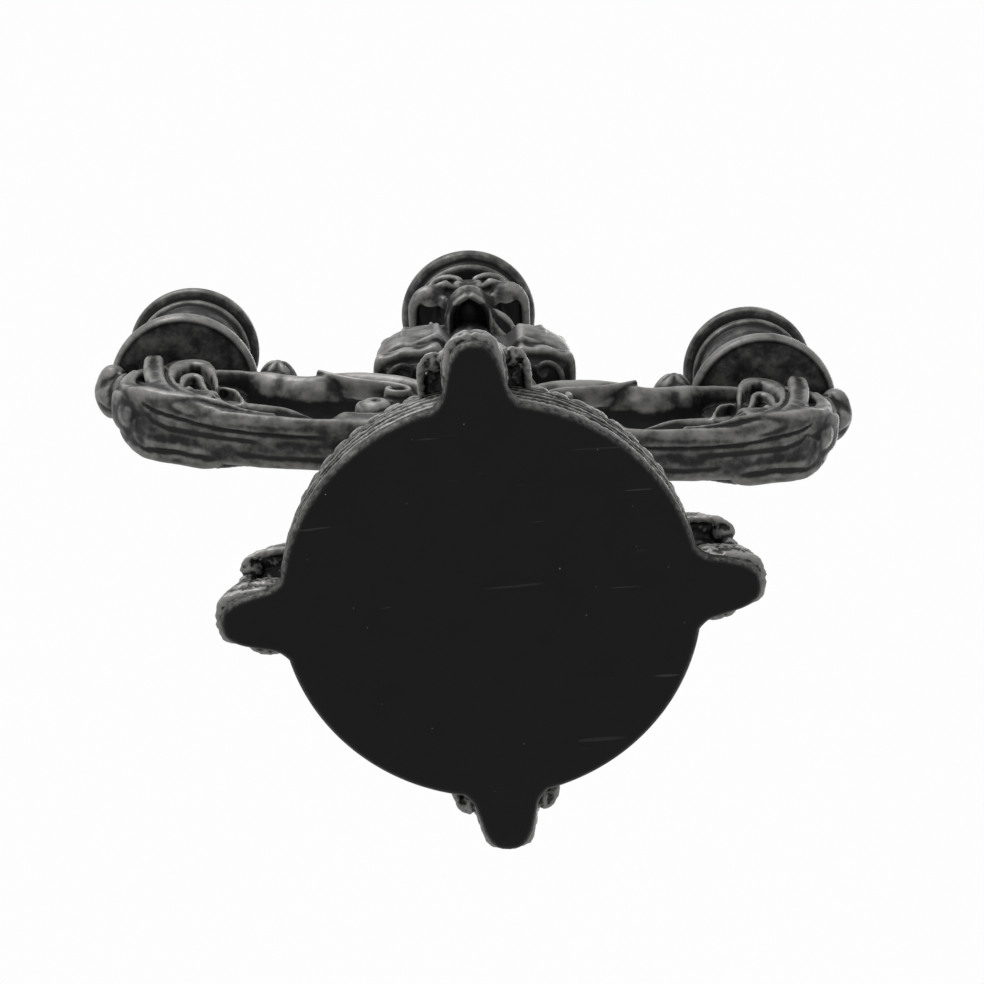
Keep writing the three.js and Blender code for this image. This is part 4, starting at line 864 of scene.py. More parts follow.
def skullParts(s):
    parts = [blob(*s["cranium"], craniumShape, 90, 120)]
    parts.append(blob((0, -6.2, 17.4), (9.8, 8.6, 9.6), None, 50, 60))
    parts.append(blob((0, -8.6, 10.2), (6.4, 7.2, 4.6), None, 40, 50))
    parts.append(blob((0, -13.2 + s["bridge"], 16.4), (2.0, 3.0, 4.6), None, 30, 30))
    parts.append(tube([(0, -15.0, 20.4), (0, -15.9 + s["bridge"], 18.6), (0, -16.8 + s["bridge"], 16.6)], [1.5, 1.2, 0.9]))
    if s["nape"]:
        parts.append(blob((0, 6.5, 9.2), (8.2, 7.6, 3.6), None, 40, 50))
        parts.append(blob((0, 0.6, 9.8), (4.2, 4.6, 3.4), None, 30, 40))
    if s["floor"]:
        parts.append(blob((0, -7.0, 1.6), s["floor"], None, 24, 60, 0.5))
    for line in s["wisps"]:
        parts.append(tube(line, [0.8] * (len(line) - 1) + [0.5]))
    arch = s["arch"] + [(-x, y, z) for x, y, z in s["arch"][-2::-1]]
    rows = []
    for x, y, z in arch:
        out = unitRows(np.array([x * 1.2, y + 4.0 if y < -4 else -0.5, 0.0]))
        rows.append([x, y, z, 3.7, 1.5, *out])
    parts.append(band(rows, 150, 36, 0.8, lambda u, t: 0.25 * np.cos(t * 44) * smoothStep(-u, -0.4, 0.6)))
    for side in (-1, 1):
        m = lambda points: [(side * x, y, z) for x, y, z in points]
        parts.append(tube(m([(0.9, -15.4, 21.6), (3.4, -16.0, 23.2), (6.6, -15.4, 23.6), (9.6, -13.2, 22.2), (11.0, -11.2, 19.6)]),
                          [s["brow"] * r for r in (1.2, 1.7, 1.8, 1.6, 1.3)]))
        parts.append(tube(m([(11.0, -11.2, 19.8), (11.3, -11.2, 17.0), (11.0, -11.3, 14.4)]), [1.3, 1.3, 1.7]))
        parts.append(tube(m([(2.0, -15.2, 20.6), (2.0, -15.0, 18.0), (3.4, -14.6, 15.4), (6.6, -13.8, 14.3), (9.8, -12.2, 14.0)]),
                          [1.0, 0.9, 1.1, 1.3, 1.4]))
        parts.append(blob((side * 10.4, -11.2, 13.0), (3.5, 2.9, 3.1), None, 30, 36))
        parts.append(tube(m([(9.2, -13.2, 12.2), (12.9, -12.2, 12.2), (15.1, -9.0, 12.6), (15.6, -4.4, 13.2), (15.2, 0.6, 14.2), (13.4, 4.4, 15.4)]),
                          [1.9, 1.9, 1.6, 1.4, 1.4, 1.6], squash=0.85))
        parts.append(blob((side * 11.6, -2.2, 18.2), (4.0, 8.6, 4.2), None, 36, 44, 0.6))
        parts.append(tube(m([(8.6, -11.8, 11.4), (7.2, -10.8, 9.4), (6.4, -9.8, 8.0)]), [2.0, 1.7, 1.5]))
        parts.append(tube(m([(1.9, -15.8 + s["bridge"], 15.2), (2.6, -16.0 + s["bridge"], 12.4), (2.2, -16.6 + s["bridge"], 9.8),
                             (0.6, -17.0 + s["bridge"], 9.2)]), [0.9, 0.9, 0.9, 0.8]))
        if s["nape"]:
            parts.append(tube(m([(10.6, 5.4, 14), (10.4, 5.0, 10.4), (9.8, 4.4, 7.4)]), [3.0, 2.6, 1.8]))
            parts.append(tube(m([(4.6, -1.6, 11), (4.8, -0.6, 7.6), (5.6, 0.6, 5.8)]), [1.8, 1.3, 0.8]))
            parts.append(tube(m([(2.0, 6.2, 7.4), (3.6, 9.0, 6.6), (3.4, 11.6, 7.4)]), [1.0, 1.5, 1.2]))
        for x, y, wide, deep in s["teeth"]:
            out = unitRows(np.array([side * x * 1.2, min(y + 4.0, -0.5), 0.0]))
            angle = math.degrees(math.atan2(out[0], -out[1]))
            tooth = blob((0, 0, 0), (wide, deep, 2.9), lambda d: 1 - 0.16 * smoothStep(d[..., 2], 0, 1), 26, 28, 0.72)
            parts.append(moved(tooth, turnAboutZ(angle), (side * x, y, 2.9)))
            root = blob((0, -0.5, 0), (0.8 * wide, 0.9, 3.0), None, 18, 20)
            parts.append(moved(root, turnAboutZ(angle), (side * x * 1.03, y - 0.25, 6.2)))
    return parts


# Presses a hollow into the face: inside the ellipse across X and Z the surface drops to
# the far half of an ellipsoid, y = middle + depth * sqrt(1 - ellipse), eased at the rim.
def hollowed(points, middle, radii, lean=0.0, narrow=0.0):
    x, y, z = points.T
    dz = (z - middle[2]) / radii[2]
    dx = (x - middle[0] - lean * (z - middle[2])) / (radii[0] * (1 - narrow * dz))
    q = dx**2 + np.abs(dz) ** 2
    deep = middle[1] + radii[1] * np.sqrt(np.clip(1 - q, 0, 1)) ** 1.3
    inside = (q < 1) & (y < middle[1] + radii[1]) & (y < deep)
    out = points.copy()
    out[inside, 1] = deep[inside]
    return out


# Foot skulls lean back with height. On the middle skull the jaw falls back and the
# cheekbones stand forward, and the mouth is a deep hollow.
def footLean(points):
    out = points.copy()
    z = points[:, 2]
    out[:, 1] += 0.27 * z + 0.12 * np.maximum(z - 14, 0) - 2.3 * smoothStep(-points[:, 1], 8, 14) * (1 - smoothStep(z, 8, 12))
    out[:, 0] *= 1 + 0.13 * smoothStep(-points[:, 1], -2, 4) * (1 - smoothStep(z, 8, 12))
    return out


def crownLean(points):
    out = points.copy()
    x, y, z = points.T
    out[:, 1] += 0.9 * (1 - smoothStep(z, 2, 14))
    out[:, 0] *= 1 - 0.15 * (1 - smoothStep(z, 8, 12)) * (1 - smoothStep(np.abs(x), 8.5, 11))
    out[:, 1] -= 2.6 * bell(z - 14.5, 4.5) * smoothStep(np.abs(x), 3.5, 7) * smoothStep(-y, 2, 8)
    out[:, 0] *= 1 + 0.09 * smoothStep(np.abs(x), 6, 11)
    out[:, 0] += np.sign(x) * 2.2 * np.sin(math.pi * np.minimum(np.abs(x), 12) / 12) * smoothStep(z, 14.5, 17.5)
    return out


def sculptedSkull(s, lean, rough):
    points, quads, tris = voxelSkin(skullParts(s), s["voxel"])
    edges = edgesOf(quads, tris)
    points = evened(points, edges, 3)
    for side in (-1, 1):
        (x, y, z), radii = s["socket"]
        points = hollowed(points, (side * x, y, z), radii, side * -0.08)
        (x, y, z), radii = s["nose"]
        points = hollowed(points, (side * x, y, z), radii, 0, 0.25)
    points = lean(points)
    skin = voxelSkin([(points, quads, tris)], s["fine"])
    edges = edgesOf(skin[1], skin[2])
    points = evened(skin[0], edges, 2)
    normals = vertexNormals(points, skin[1], skin[2])
    x, y, z = points.T
    high = smoothStep(z, 24.5, 26.5)
    front = bell(y + 3.5 + 0.5 * np.sin(2.1 * x) + 0.25 * np.sin(5.3 * x), 0.42)
    back = bell(y - 11.5 - 0.35 * np.abs(x) + 0.5 * np.sin(2.3 * x), 0.42) * (y > 4)
    middle = bell(x + 0.5 * np.sin(1.9 * y), 0.42) * smoothStep(y, -3.5, -2.5) * (1 - smoothStep(y, 11, 12.5))
    depth = 0.34 * high * np.maximum(np.maximum(front, back), middle)
    points = roughened(points - normals * depth[:, None], skin[1], skin[2], rough)
    surface = (points, skin[1], skin[2])
    print("skull shaped", len(points))
    return surface, edges, standOut(*surface, edges, 10, 70, 0.16, 0.8)



# four feet, each a skull on a lug, and the middle skull under the top dish
line = np.array([tooth[:2] for tooth in skull["teeth"]])
step = np.linspace(0, len(line) - 1, 11)
small = np.stack([np.interp(step, range(len(line)), across) for across in line.T], -1)
footTeeth = {"teeth": [(x, y, 0.92, 1.0) for x, y in small]}
skullSurface, skullEdges, skullRaised = sculptedSkull({**skull, **footTeeth}, footLean, 0.52)
feet = {"reach": 62.0, "rise": 5.0, "turns": {"Front": 0, "Right": 90, "Back": 180, "Left": 270}}
for side, degrees in feet["turns"].items():
    placed = moved(skullSurface, turnAboutZ(degrees))
    shift = turnAboutZ(degrees) @ np.array([0, -feet["reach"], feet["rise"]])
    placed = moved(placed, None, shift)
    finishPiece("footSkull" + side, placed, footResin, "black_resin", ["foot_skull_" + side.lower()], skullEdges, raised=skullRaised)

crown = {"scale": 43 / 33, "forward": 1.6, "bottom": 274.72, "twist": 1.5, "top": 320.6}
crownFace = {
    "socket": ((7.4, -15.4, 18.2), (4.4, 7.0, 2.9)), "nose": ((1.2, -14.6, 12.0), (1.0, 2.6, 2.2)),
    "brow": 0.66, "bridge": 2.4, "nape": False, "floor": None,
    "teeth": [(x, y, 1.25, 1.15) for x, y in small],
    "wisps": [[(-6.6, -11.5, 2.5), (-7.2, -8.6, 1.8), (-8.8, -7.2, 1.6), (-10.4, -7.8, 1.8), (-11.0, -9.4, 2.2)],
              [(6.6, -11.4, 3.0), (8.4, -6.8, 1.4), (10.0, -2.8, 0.4), (10.6, 1.0, 0.2)],
              [(8.0, -11.4, 4.6), (10.2, -9.0, 2.6), (12.0, -5.4, 1.2), (12.9, -1.6, 0.4)]],
}
skullSurface, skullEdges, skullRaised = sculptedSkull({**skull, **crownFace}, crownLean, 0.1)
x, y, z = skullSurface[0].T
# Painted shade: the crown skull's mouth has its raised value pushed down, so it takes no silver rub and stays black.
mouthShade = (1 - smoothStep(np.abs(x), 5.0, 6.5)) * smoothStep(y, -14.0, -12.0) * (1 - smoothStep(z, 10, 13))
skullRaised = skullRaised - 1.6 * mouthShade
placed = moved(skullSurface, None, (0, -crown["forward"], crown["bottom"]), crown["scale"])
placed = moved(placed, turnAboutZ(crown["twist"]))
placed[0][:, 2] = np.minimum(placed[0][:, 2], crown["top"])
finishPiece("crownSkull", placed, skullResin, "black_resin", ["crown_skull"], skullEdges, raised=skullRaised)

# arm, drawn out along X with its front towards -Y, then turned to both sides
arm = {
    "twist": 6.5, "voxel": 0.62, "halfDepth": 9.5, "half": 6.0, "shrink": 0.3,
    "inner": (36.0, 167.5, 12.5, 3.6), "outer": (103.0, 194.0, 28.0, 2.15), "sag": 1.5, "spread": 3.4, "spreadFrom": 91.5,
    "dimple": 0.28, "leafStep": 0.8, "waves": 0.16,
    "fillet": [(18, 182), (27, 190), (38, 193.5), (50, 195), (62, 194.4), (70.5, 199.4), (84, 207.2), (103, 207.2)], "filletHalf": 5.0,
    "seat": 212.7, "seatReach": 106.1, "padRadius": 11.0,
}


# Main scroll's centre line: a shrinking spiral, r = R exp(-k quarters), a bar with a
# slight sag whose height eases from one end to the other, and a larger spiral.
def scrollPath(s, count=420):
    a, z, radius, quarters = s["inner"]
    q = quarters * (1 - np.linspace(0, 1, 160, endpoint=False))
    angle = -math.pi / 2 - q * math.pi / 2
    r = radius * np.exp(-s["shrink"] * q)
    small = np.c_[a + r * np.cos(angle), z + r * np.sin(angle)]
    a2, z2, radius2, quarters2 = s["outer"]
    t = np.linspace(0, 1, 80, endpoint=False)
    eased = t * t * (3 - 2 * t)
    start, end = (a, z - radius), (a2, z2 - radius2)
    bar = np.c_[start[0] + (end[0] - start[0]) * t, start[1] + (end[1] - start[1]) * eased - s["sag"] * np.sin(math.pi * t)]
    q = np.linspace(0, quarters2, 260)
    angle = -math.pi / 2 + q * math.pi / 2
    r = radius2 * np.exp(-s["shrink"] * q)
    big = np.c_[a2 + r * np.cos(angle), z2 + r * np.sin(angle)]
    line = np.concatenate([small, bar, big])
    d = np.r_[0, np.cumsum(np.linalg.norm(np.diff(line, axis=0), axis=1))]
    even = np.linspace(0, d[-1], count)
    return np.c_[np.interp(even, d, line[:, 0]), np.interp(even, d, line[:, 1])], even / d[-1]


# Flat lines drawn with depth: the outward side is the line's own normal, on the right
# of its run, which is below for a line that runs out along X
def flatBand(line, half, depth, off=0.0, around=44, square=0.42, relief=None, shift=0.0, endLength=(1.2, 1.2)):
    run = unitRows(np.gradient(line, axis=0))
    out = np.c_[run[:, 1], -run[:, 0]]
    place = line + out * np.broadcast_to(shift, len(line))[:, None]
    rows = np.c_[place[:, 0], np.broadcast_to(off, len(line)), place[:, 1], np.broadcast_to(depth, len(line)),
                 np.broadcast_to(half, len(line)), out[:, 0], np.zeros(len(line)), out[:, 1]]
    return band(rows, len(line), around, square, relief, endLength)


def smoothPath(points, count):
    p = np.asarray(points, float)
    if p.shape[1] == 2:
        p = np.c_[p, np.zeros(len(p))]
        return lineThrough(p, count)[:, :2]
    return lineThrough(p, count)


def armParts(s):
    line, t = scrollPath(s)
    half = s["half"] * (0.35 + 0.65 * smoothStep(t, 0, 0.24)) * (1 - 0.72 * smoothStep(t, 0.46, 1))
    spread = smoothStep(line[:, 0], s["spreadFrom"] - 1.5, s["spreadFrom"] + 1.7) * (1 - smoothStep(line[:, 0], 114, 126))
    depth = s["halfDepth"] + s["spread"] * spread * (line[:, 1] < 200)
    parts = [flatBand(line, half, depth, square=0.32)]
    a, z, radius, _ = s["outer"]
    parts.append(moved(blob((0, 0, 0), (21, 3.4, 21), None, 40, 90, 0.8), None, (a, 0, z)))
    a, z, radius, _ = s["inner"]
    parts.append(blob((a, 0, z), (9.5, 5.2, 9.5), None, 30, 60, 0.8))
    dented = lambda d: 1 - 0.7 * np.exp(-(d[..., 0] ** 2 + d[..., 2] ** 2) / 0.12)
    parts += mirroredPair([blob((a, -8.2, z), (5.8, 4.2, 5.8), dented, 50, 60)])

    fillet = smoothPath(s["fillet"], 170)
    taper = smoothStep(fillet[:, 0], 72, 84)
    broad = 1 - smoothStep(fillet[:, 0], 36, 76)
    parts.append(flatBand(fillet, 5.4 - 3.2 * taper, 10.4 - 1.4 * taper + 3.4 * broad, square=0.95))
    parts.append(blob((72.0, 0, 208.6), (8.2, 12.8, 8.4), lambda d: 1 + 0.04 * np.cos(5 * np.arctan2(d[..., 0], d[..., 2])), 60, 80))

    profile = rounded([(0, 198), (5.6, 198), (8.2, 203), (10.6, 206.6), (11.1, 209.5), (11, 212.7), (0, 212.7)], 0.8)
    parts.append(turned(profile, 96, None, step=0.6, centre=(s["seatReach"], 0)))
    root = blob((23.4, 0, 166.8), (6.6, 9.6, 18.2), None, 50, 50, 0.22)
    parts.append(root)
    return parts + leafParts(s)


# Leaf work under the arm and on its faces. Each band is a line of points with its half
# widths; its outer side follows the line's own normal, tipped towards the front.
def leafBand(points, widths, thick, tip, relief, count=150, around=44, square=0.8, endLength=(2.0, 2.0)):
    p = np.asarray(points, float)
    run = unitRows(np.gradient(p, axis=0))
    out = unitRows(np.c_[run[:, 2], np.full(len(p), tip), -run[:, 0]])
    rows = np.c_[p, np.broadcast_to(widths, len(p)), np.broadcast_to(thick, len(p)), out]
    return band(rows, count, around, square, relief, endLength)


# A strip whose width lies across the arm, as a rolled leaf has it: points are (out, height)
def rolled(points, across, half, thick, count=160, **others):
    p = smoothPath(points, count)
    t = np.linspace(0, 1, len(p))
    put = lambda value: np.interp(t, np.linspace(0, 1, len(value)), value) if np.ndim(value) else value
    return flatBand(p, put(thick), put(half), off=put(across), around=36, square=0.6, endLength=(1.0, 1.0), **others)


# A leaf that lies under the arm at its root and turns to the front at its tip
def faceBand(points, widths, thick, facing, relief, count=180, endLength=(2.0, 2.4)):
    p = np.asarray(points, float)
    run = unitRows(np.gradient(p, axis=0))
    facing = np.asarray(facing, float)[:, None]
    under = np.c_[run[:, 2], np.full(len(p), -0.25), -run[:, 0]]
    front = np.tile([0, -1.0, -0.4], (len(p), 1))
    rows = np.c_[p, np.broadcast_to(widths, len(p)), np.broadcast_to(thick, len(p)), unitRows(under * (1 - facing) + front * facing)]
    return band(rows, count, 40, 0.8, relief, endLength)


def leafParts(s):
    rimmed = lambda u, t: 0.8 * smoothStep(np.abs(u), 0.45, 0.85) * (0.4 + 0.6 * smoothStep(t, 0.45, 0.8)) - 0.5 * bell(u, 0.35) * smoothStep(t, 0.5, 0.8)
    shell = [(26, 157), (40, 152.4), (50, 151.4), (62, 151.6), (72, 152.7), (80, 154.4), (86, 156.0), (90.2, 157.4), (93.2, 158.6),
             (97, 160.4), (102, 162.8), (108, 166), (113, 169.2), (118, 173), (122, 176.6), (125.8, 181.6), (127.6, 187)]
    reach = [9.0, 9.3, 9.4, 9.4, 9.5, 9.6, 9.6, 9.7, 10.9, 11.1, 11.2, 11.1, 10.5, 9.4, 8.2, 6.8, 5.4]
    aside = [0, 0, 0, 0, 0, 0, 0.1, 0.3, 1.3, 1.6, 1.8, 1.7, 1.2, 0.3, -0.6, -1.3, -1.6]
    parts = [leafBand([(x, y, z) for (x, z), y in zip(shell, aside)], reach, 2.9, 0.0, None, 320, square=0.5, endLength=(2, 4))]
    parts.append(blob((120.6, -0.8, 186), (7.0, 7.6, 16.6), None, 40, 60, 0.95))
    finger = [(74, -6.8, 153.2), (90, -7.4, 157.4), (98, -8.2, 160.4), (104.2, -9.6, 163.6), (109.6, -11.0, 169.8), (113.2, -11.8, 179),
              (115.3, -12.3, 191.7), (116.6, -12.5, 208)]
    pair = [faceBand(finger, [1.6, 2.3, 2.8, 3.0, 3.2, 3.4, 3.7, 3.4], 2.2, [0, 0.1, 0.25, 0.5, 0.8, 1, 1, 1], rimmed, 200, (3.0, 7.0))]
    ring = [(70, 153.4), (84, 156.6), (91, 159.2), (97.5, 162.6), (103, 168), (107.0, 176.4), (108.5, 187), (107.0, 197),
            (103.2, 202.2), (98.8, 201.4), (95.6, 195.2), (93.6, 187), (92.2, 178), (91.6, 171)]
    thick = [0.8, 0.8, 0.8, 0.85, 0.9, 0.95, 1.1, 1.8, 3.0, 3.2, 2.0, 0.9, 0.7, 0.6]
    pair.append(rolled(ring, [-7.2, -8.4, -9.6, -10.2, -10.4, -10.4, -10.4, -10.2, -9.8], 3.4, thick, 260))
    hook = [(74, 153.6), (81, 156.2), (87.7, 160.4), (91.7, 164.4), (94.9, 170.6), (97.2, 179.2), (98.8, 185.4), (101.0, 187.6),
            (103.2, 184.8), (104.0, 178.2), (103.2, 170.6), (101.0, 166.8)]
    pair.append(rolled(hook, [-8.2, -9.4, -10.6, -11.2, -11.4, -11.4], 2.0, [0.4, 0.5, 0.6, 0.7, 0.9, 1.5, 0.9, 0.6], 200))
    pair.append(blob((101.2, -11.6, 169.4), (1.7, 2.2, 3.2), None, 24, 30))
    loop = [(80.2, 154), (81.6, 163), (83.6, 172.6), (86.8, 180), (90.0, 181.4), (92.2, 176.4), (92.2, 168.6), (90.0, 162)]
    pair.append(rolled(loop, -8.0, 2.5, 0.55, 140))
    curl = [(58, 198), (50, 192), (40, 186.8), (31, 184.6), (25.4, 181), (24.6, 176.4), (28.4, 173.8), (32.2, 176.4), (31.0, 180)]
    pair.append(rolled(curl, -9.4, 4.2, [0.5, 0.8, 1.0, 1.1, 1.1, 1.0, 0.9, 0.9, 1.3], 170))
    parts += mirroredPair(pair)
    hollow = lambda d: 1 - s["dimple"] * np.exp(-((d[..., 2] + 0.62) ** 2 + (np.abs(d[..., 1]) - 0.62) ** 2) / 0.14) * (d[..., 0] > -0.4)
    parts.append(blob((131.2, 0, 205.5), (6.5, 10.0, 9.6), hollow, 70, 90))
    parts.append(blob((126.0, 0, 200.0), (5.6, 8.4, 9.0), None, 40, 50))
    return parts


# Lines under the arm: points are (out, across), then height cut upward and half width;
# each is a bell across its line. Past the leaf's edge the whole underside steps up, and
# the strip's front leans back above its lower edge.
armLines = [
    ([(55, -2.8), (78.4, -2.8), (87.8, -3.1), (97.4, -3.7), (106, -4.7), (113.3, -6.0), (117, -7.6)], 1.3, 0.5),
    ([(78, 0.0), (92.7, -0.2), (99.1, -0.1), (107.1, -0.3), (112.9, -2.0), (115.5, -4.0)], 0.6, 0.8),
    ([(60, -7.2), (74, -7.1), (82, -7.0), (92, -5.6), (99, -5.4)], -0.5, 1.5),
    ([(92, 8.2), (99.5, 8.0), (106, 7.9), (112, 8.4), (117, 9.0)], 1.1, 0.9),
    ([(93, 5.6), (99.8, 5.5), (104.8, 5.6), (111, 5.8), (117, 5.6)], -0.4, 1.2),
    ([(94.4, 12), (101.5, 12.4), (108.8, 12.9), (114.3, 13.2), (119, 12.6)], -0.4, 0.9),
    ([(46, 4.9), (60, 5.0), (72, 5.3), (84, 5.0)], 0.4, 0.9),
]


def armChange(points, s=arm):
    out = points.copy()
    x, y, z = points.T
    under = np.interp(x, [30, 50, 62, 79, 91, 102, 113, 122, 129], [151.5, 148.5, 148.6, 151.3, 155, 160, 166.4, 173, 183])
    near = 1 - smoothStep(z, under + 2.5, under + 5)
    for line, depth, half in armLines:
        u, v = np.array(line).T
        ends = smoothStep(x, u[0] - 3, u[0] + 4) * (1 - smoothStep(x, u[-1] - 3, u[-1] + 1))
        out[:, 2] += near * ends * depth * bell(y - np.interp(x, u, v), half)
    aside = np.abs(y - 2.6)
    edge = 120.6 - 0.4 * np.maximum(aside - 2.6, 0) ** 2
    out[:, 2] += near * s["leafStep"] * smoothStep(x, edge - 0.8, edge + 0.8) * (1 - smoothStep(aside, 4.6, 7.6))
    waves = valueNoise(points * np.array([0.35, 1, 1]), 3.4) + 0.5 * valueNoise(points * np.array([0.5, 1, 1]), 1.5, 3)
    out += vertexNormals(points, armQuads, armTris) * (s["waves"] * waves)[:, None]
    leaning = smoothStep(z - under, 0.5, 11) * (1 - smoothStep(z, 161, 164)) * smoothStep(x, 46, 54) * (1 - smoothStep(x, 80, 90))
    out[:, 1] *= 1 - 0.42 * leaning
    out[:, 0] = np.maximum(out[:, 0], 17.0)
    seat = np.hypot(out[:, 0] - s["seatReach"], out[:, 1]) < s["padRadius"] + 16
    out[:, 2] = np.where(seat, np.minimum(out[:, 2], s["seat"]), out[:, 2])
    return out


armPoints, armQuads, armTris = voxelSkin(armParts(arm), arm["voxel"])
armEdges = edgesOf(armQuads, armTris)
armPoints = armChange(evened(armPoints, armEdges, 2))
armRaised = standOut(armPoints, armQuads, armTris, armEdges, 8, 60, 0.14, 0.6)
x, y, z = armPoints.T
# Painted shade and painted light on the upper scroll's underside: its middle has its raised value pushed down so it
# stays black, and towards its front and back edges it is lifted in mottled patches so it takes more silver rub.
fillet = smoothStep(x, 22, 30) * (1 - smoothStep(x, 84, 96)) * smoothStep(z, 172, 178) * (1 - smoothStep(z, 199, 204))
paintedLightPatches = 0.85 + 0.4 * valueNoise(armPoints, 5.0, 5)
armRaised = armRaised + fillet * (2.0 * paintedLightPatches * smoothStep(np.abs(y), 1.5, 5.0) - 1.3) * (1 - 0.35 * smoothStep(x, 60, 80))
print("arm shaped", len(armPoints))
for side, degrees in (("Right", 0), ("Left", 180)):
    shape = (armPoints, armQuads, armTris)
    placed = moved(shape if degrees == 0 else mirrored(shape, 1), turnAboutZ(arm["twist"] + degrees))
    finishPiece("arm" + side, placed, blackResin, "black_resin", ["arm_" + side.lower()], armEdges, raised=armRaised)

# dishes, cups and the top dish, turned from their CAD profiles with softer edges
lights = {
    "span": 106.1, "twist": 6.5, "bore": 2.4, "around": 224, "step": 0.52,
    "pan": [(2.4, 213.6), (23.6, 213.6), (24.6, 213.5), (25.2, 213.0), (25.9, 213.0), (26.7, 213.9), (27.1, 215.3), (27.2, 216.8),
            (26.9, 217.7), (26.2, 218.4), (25.4, 218.9), (25.5, 219.6), (25.9, 220.2), (25.5, 220.8), (24.6, 221.0), (2.4, 221.0)],
    "cup": [(2.4, 221.3), (23.6, 221.3), (24.7, 221.8), (25.2, 222.8), (25.2, 224.0), (24.6, 225.0), (23.2, 225.6), (22.8, 226.3),
            (23.0, 227.0), (21.4, 227.8), (19.4, 229.6), (17.9, 232.2), (16.9, 235.6), (16.5, 239.0), (16.9, 243.0), (17.9, 246.6),
            (19.2, 250.2), (19.6, 253.6), (19.7, 254.7), (20.6, 255.2), (21.4, 255.9), (21.6, 256.9), (21.6, 258.0), (21.2, 258.9),
            (20.4, 259.5), (20.6, 260.2), (22.6, 260.6), (24.2, 261.3), (24.7, 262.3), (24.7, 264.4), (24.2, 265.6), (23.2, 266.3),
            (20.4, 266.3), (19.8, 265.9), (18.6, 265.7), (13.6, 265.7), (12.9, 266.1), (12.3, 266.1), (12.3, 239.6), (2.4, 239.6)],
    "crownPan": [(4.3, 302.8), (14.0, 302.8), (14.0, 323.04), (20.6, 323.04), (21.8, 323.2), (22.6, 323.9), (22.8, 324.9),
                 (22.6, 325.8), (22.9, 326.4), (23.6, 326.7), (24.6, 326.7), (25.4, 327.0), (26.4, 327.8), (27.0, 328.9), (27.2, 330.2),
                 (27.0, 331.4), (26.3, 332.4), (25.9, 333.2), (26.0, 334.2), (25.5, 334.9), (24.6, 335.0), (23.8, 334.6), (22.9, 333.9),
                 (21.0, 333.84), (12.3, 333.84), (12.3, 306.1), (4.3, 306.1)],
}


def turnedLight(profile, x, s):
    wobble = lambda u, z, r: 0.05 * np.sin(3 * u + z) * (r > 14)
    return turned(rounded(profile + profile[:1], 0.35, 3)[:-1], s["around"], wobble, ring=True, step=s["step"], centre=(x, 0))


for side, degrees in (("Right", lights["twist"]), ("Left", lights["twist"] + 180)):
    matrix = turnAboutZ(degrees)
    name = side.lower()
    finishPiece("pan" + side, moved(turnedLight(lights["pan"], lights["span"], lights), matrix), dishResin, "black_resin", ["pan_" + name])
    finishPiece("cup" + side, moved(turnedLight(lights["cup"], lights["span"], lights), matrix), cupResin, "black_resin", ["cup_" + name])
matrix = turnAboutZ(crown["twist"])
finishPiece("crownPan", moved(turnedLight(lights["crownPan"], 0, lights), matrix), cupResin, "black_resin", ["crown_pan"])

# CAD pieces that stay as they are get their own metal or wood
for nodeName, finish in [
    ("tie_rod", "steel"), ("base_washer", "steel"), ("base_nut", "steel"), ("crown_nut", "steel"),
    ("arm_stud_right", "steel"), ("arm_stud_left", "steel"), ("cup_screw_right", "steel"), ("cup_screw_left", "steel"),
    ("liner_right", "tin"), ("liner_left", "tin"), ("crown_liner", "tin"),
    ("foot_dowel_front", "beech"), ("foot_dowel_right", "beech"), ("foot_dowel_back", "beech"), ("foot_dowel_left", "beech"),
]:
    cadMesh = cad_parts[nodeName].data
    cadMesh.materials.clear()
    cadMesh.materials.append(plainMaterials[finish])

# camera, below and in front, as in the photograph
view = {
    "right": (0.9970451603, 0.0712191460, -0.0287885666), "down": (-0.0766841236, 0.9448592173, -0.3183718026),
    "ahead": (0.0045269746, 0.3196386909, 0.9475286876), "place": (-0.9446742, -282.9053704, -734.7659798),
    "lens": 2700 / 984 * 36,
}
cameraData = bpy.data.cameras.new("camera")
cameraData.lens = view["lens"]
cameraData.sensor_width = 36
cameraData.clip_start = 0.05
camera = bpy.data.objects.new("camera", cameraData)
scene.collection.objects.link(camera)
turn = np.stack([view["right"], -np.array(view["down"]), -np.array(view["ahead"])], 1)
place = np.array(view["place"]) * mm
camera.matrix_world = Matrix([[*turn[row], place[row]] for row in range(3)] + [[0, 0, 0, 1]])
scene.camera = camera

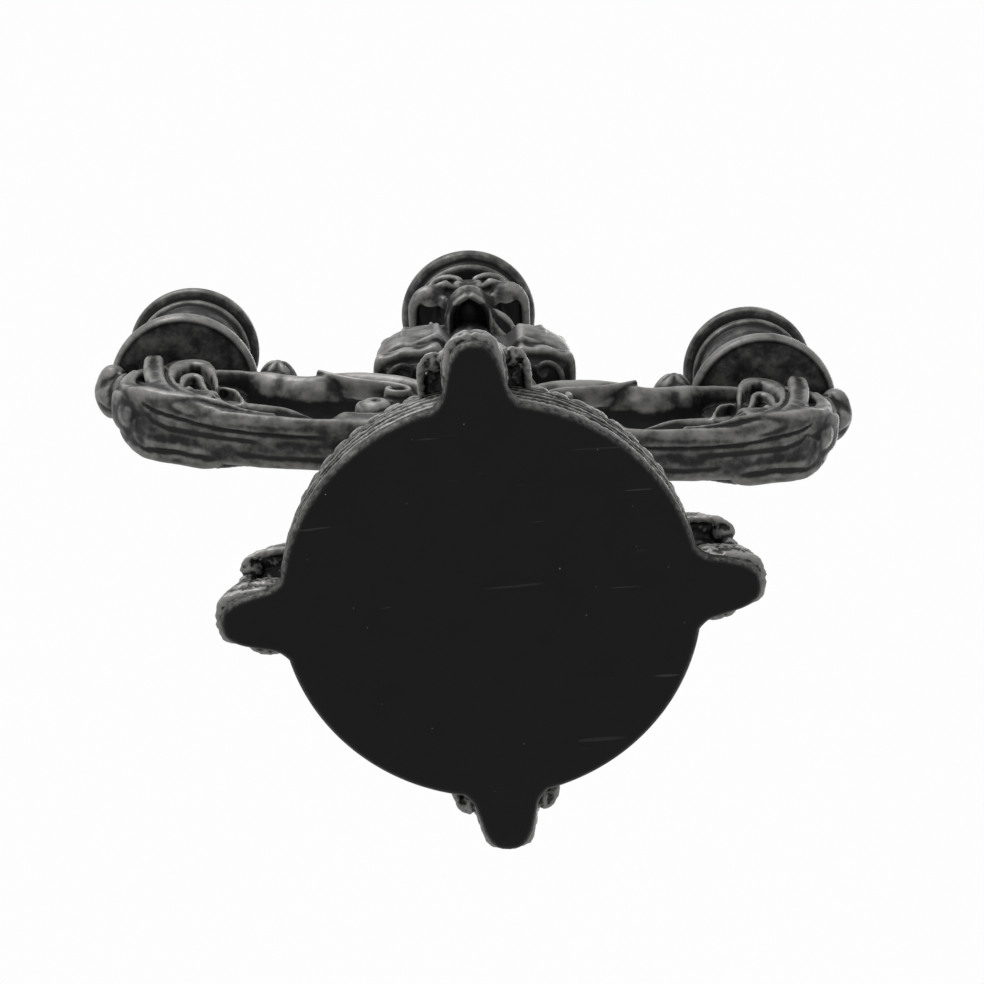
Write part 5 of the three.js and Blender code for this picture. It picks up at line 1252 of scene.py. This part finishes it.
# floor: pale from above with the object's shadow, clear from below
light = {
    "floor": 0.82, "background": 0.985, "world": 0.62,
    "lamps": {
        "keyLamp": {"place": (-0.34, -1.0, 0.42), "size": 0.55, "energy": 11.0},
        "topLamp": {"place": (0.5, 0.3, 1.4), "size": 0.9, "energy": 9.0},
    },
}
floorMesh = bpy.data.meshes.new("floor")
floorMesh.from_pydata([(-4, -4, -0.0002), (4, -4, -0.0002), (4, 4, -0.0002), (-4, 4, -0.0002)], [], [(0, 1, 2, 3)])
floor = bpy.data.objects.new("floor", floorMesh)
scene.collection.objects.link(floor)
floorMaterial = bpy.data.materials.new("floorPale")
floorMaterial.use_nodes = True
tree = floorMaterial.node_tree
tree.nodes.clear()
output = addNode(tree, "ShaderNodeOutputMaterial")
pale = addNode(tree, "ShaderNodeBsdfDiffuse", {"Color": (light["floor"],) * 3 + (1,)})
clear = addNode(tree, "ShaderNodeBsdfTransparent")
below = addNode(tree, "ShaderNodeNewGeometry").outputs["Backfacing"]
both = addNode(tree, "ShaderNodeMixShader", {0: below})
tree.links.new(pale.outputs[0], both.inputs[1])
tree.links.new(clear.outputs[0], both.inputs[2])
tree.links.new(both.outputs[0], output.inputs[0])
floorMesh.materials.append(floorMaterial)
floor.visible_diffuse = False
floor.visible_glossy = False
floor.visible_transmission = False
floor.visible_shadow = False

# world: white behind the object, soft grey light from all round
world = bpy.data.worlds.new("studio")
scene.world = world
world.use_nodes = True
tree = world.node_tree
tree.nodes.clear()
output = addNode(tree, "ShaderNodeOutputWorld")
path = addNode(tree, "ShaderNodeLightPath")
seen = maths(tree, "ADD", path.outputs["Is Camera Ray"], path.outputs["Is Glossy Ray"])
seen = maths(tree, "ADD", seen, path.outputs["Is Transmission Ray"], clamp=True)
strength = maths(tree, "MULTIPLY_ADD", seen, light["background"] - light["world"], light["world"])
sky = addNode(tree, "ShaderNodeBackground", {"Color": (1, 1, 1, 1), "Strength": strength})
tree.links.new(sky.outputs[0], output.inputs[0])

for lampName, lamp in light["lamps"].items():
    data = bpy.data.lights.new(lampName, "AREA")
    data.size = lamp["size"]
    data.energy = lamp["energy"]
    thing = bpy.data.objects.new(lampName, data)
    scene.collection.objects.link(thing)
    thing.location = lamp["place"]
    thing.rotation_euler = (Vector((0, 0, 0.17)) - Vector(lamp["place"])).to_track_quat("-Z", "Y").to_euler()

scene.view_settings.view_transform = "Standard"
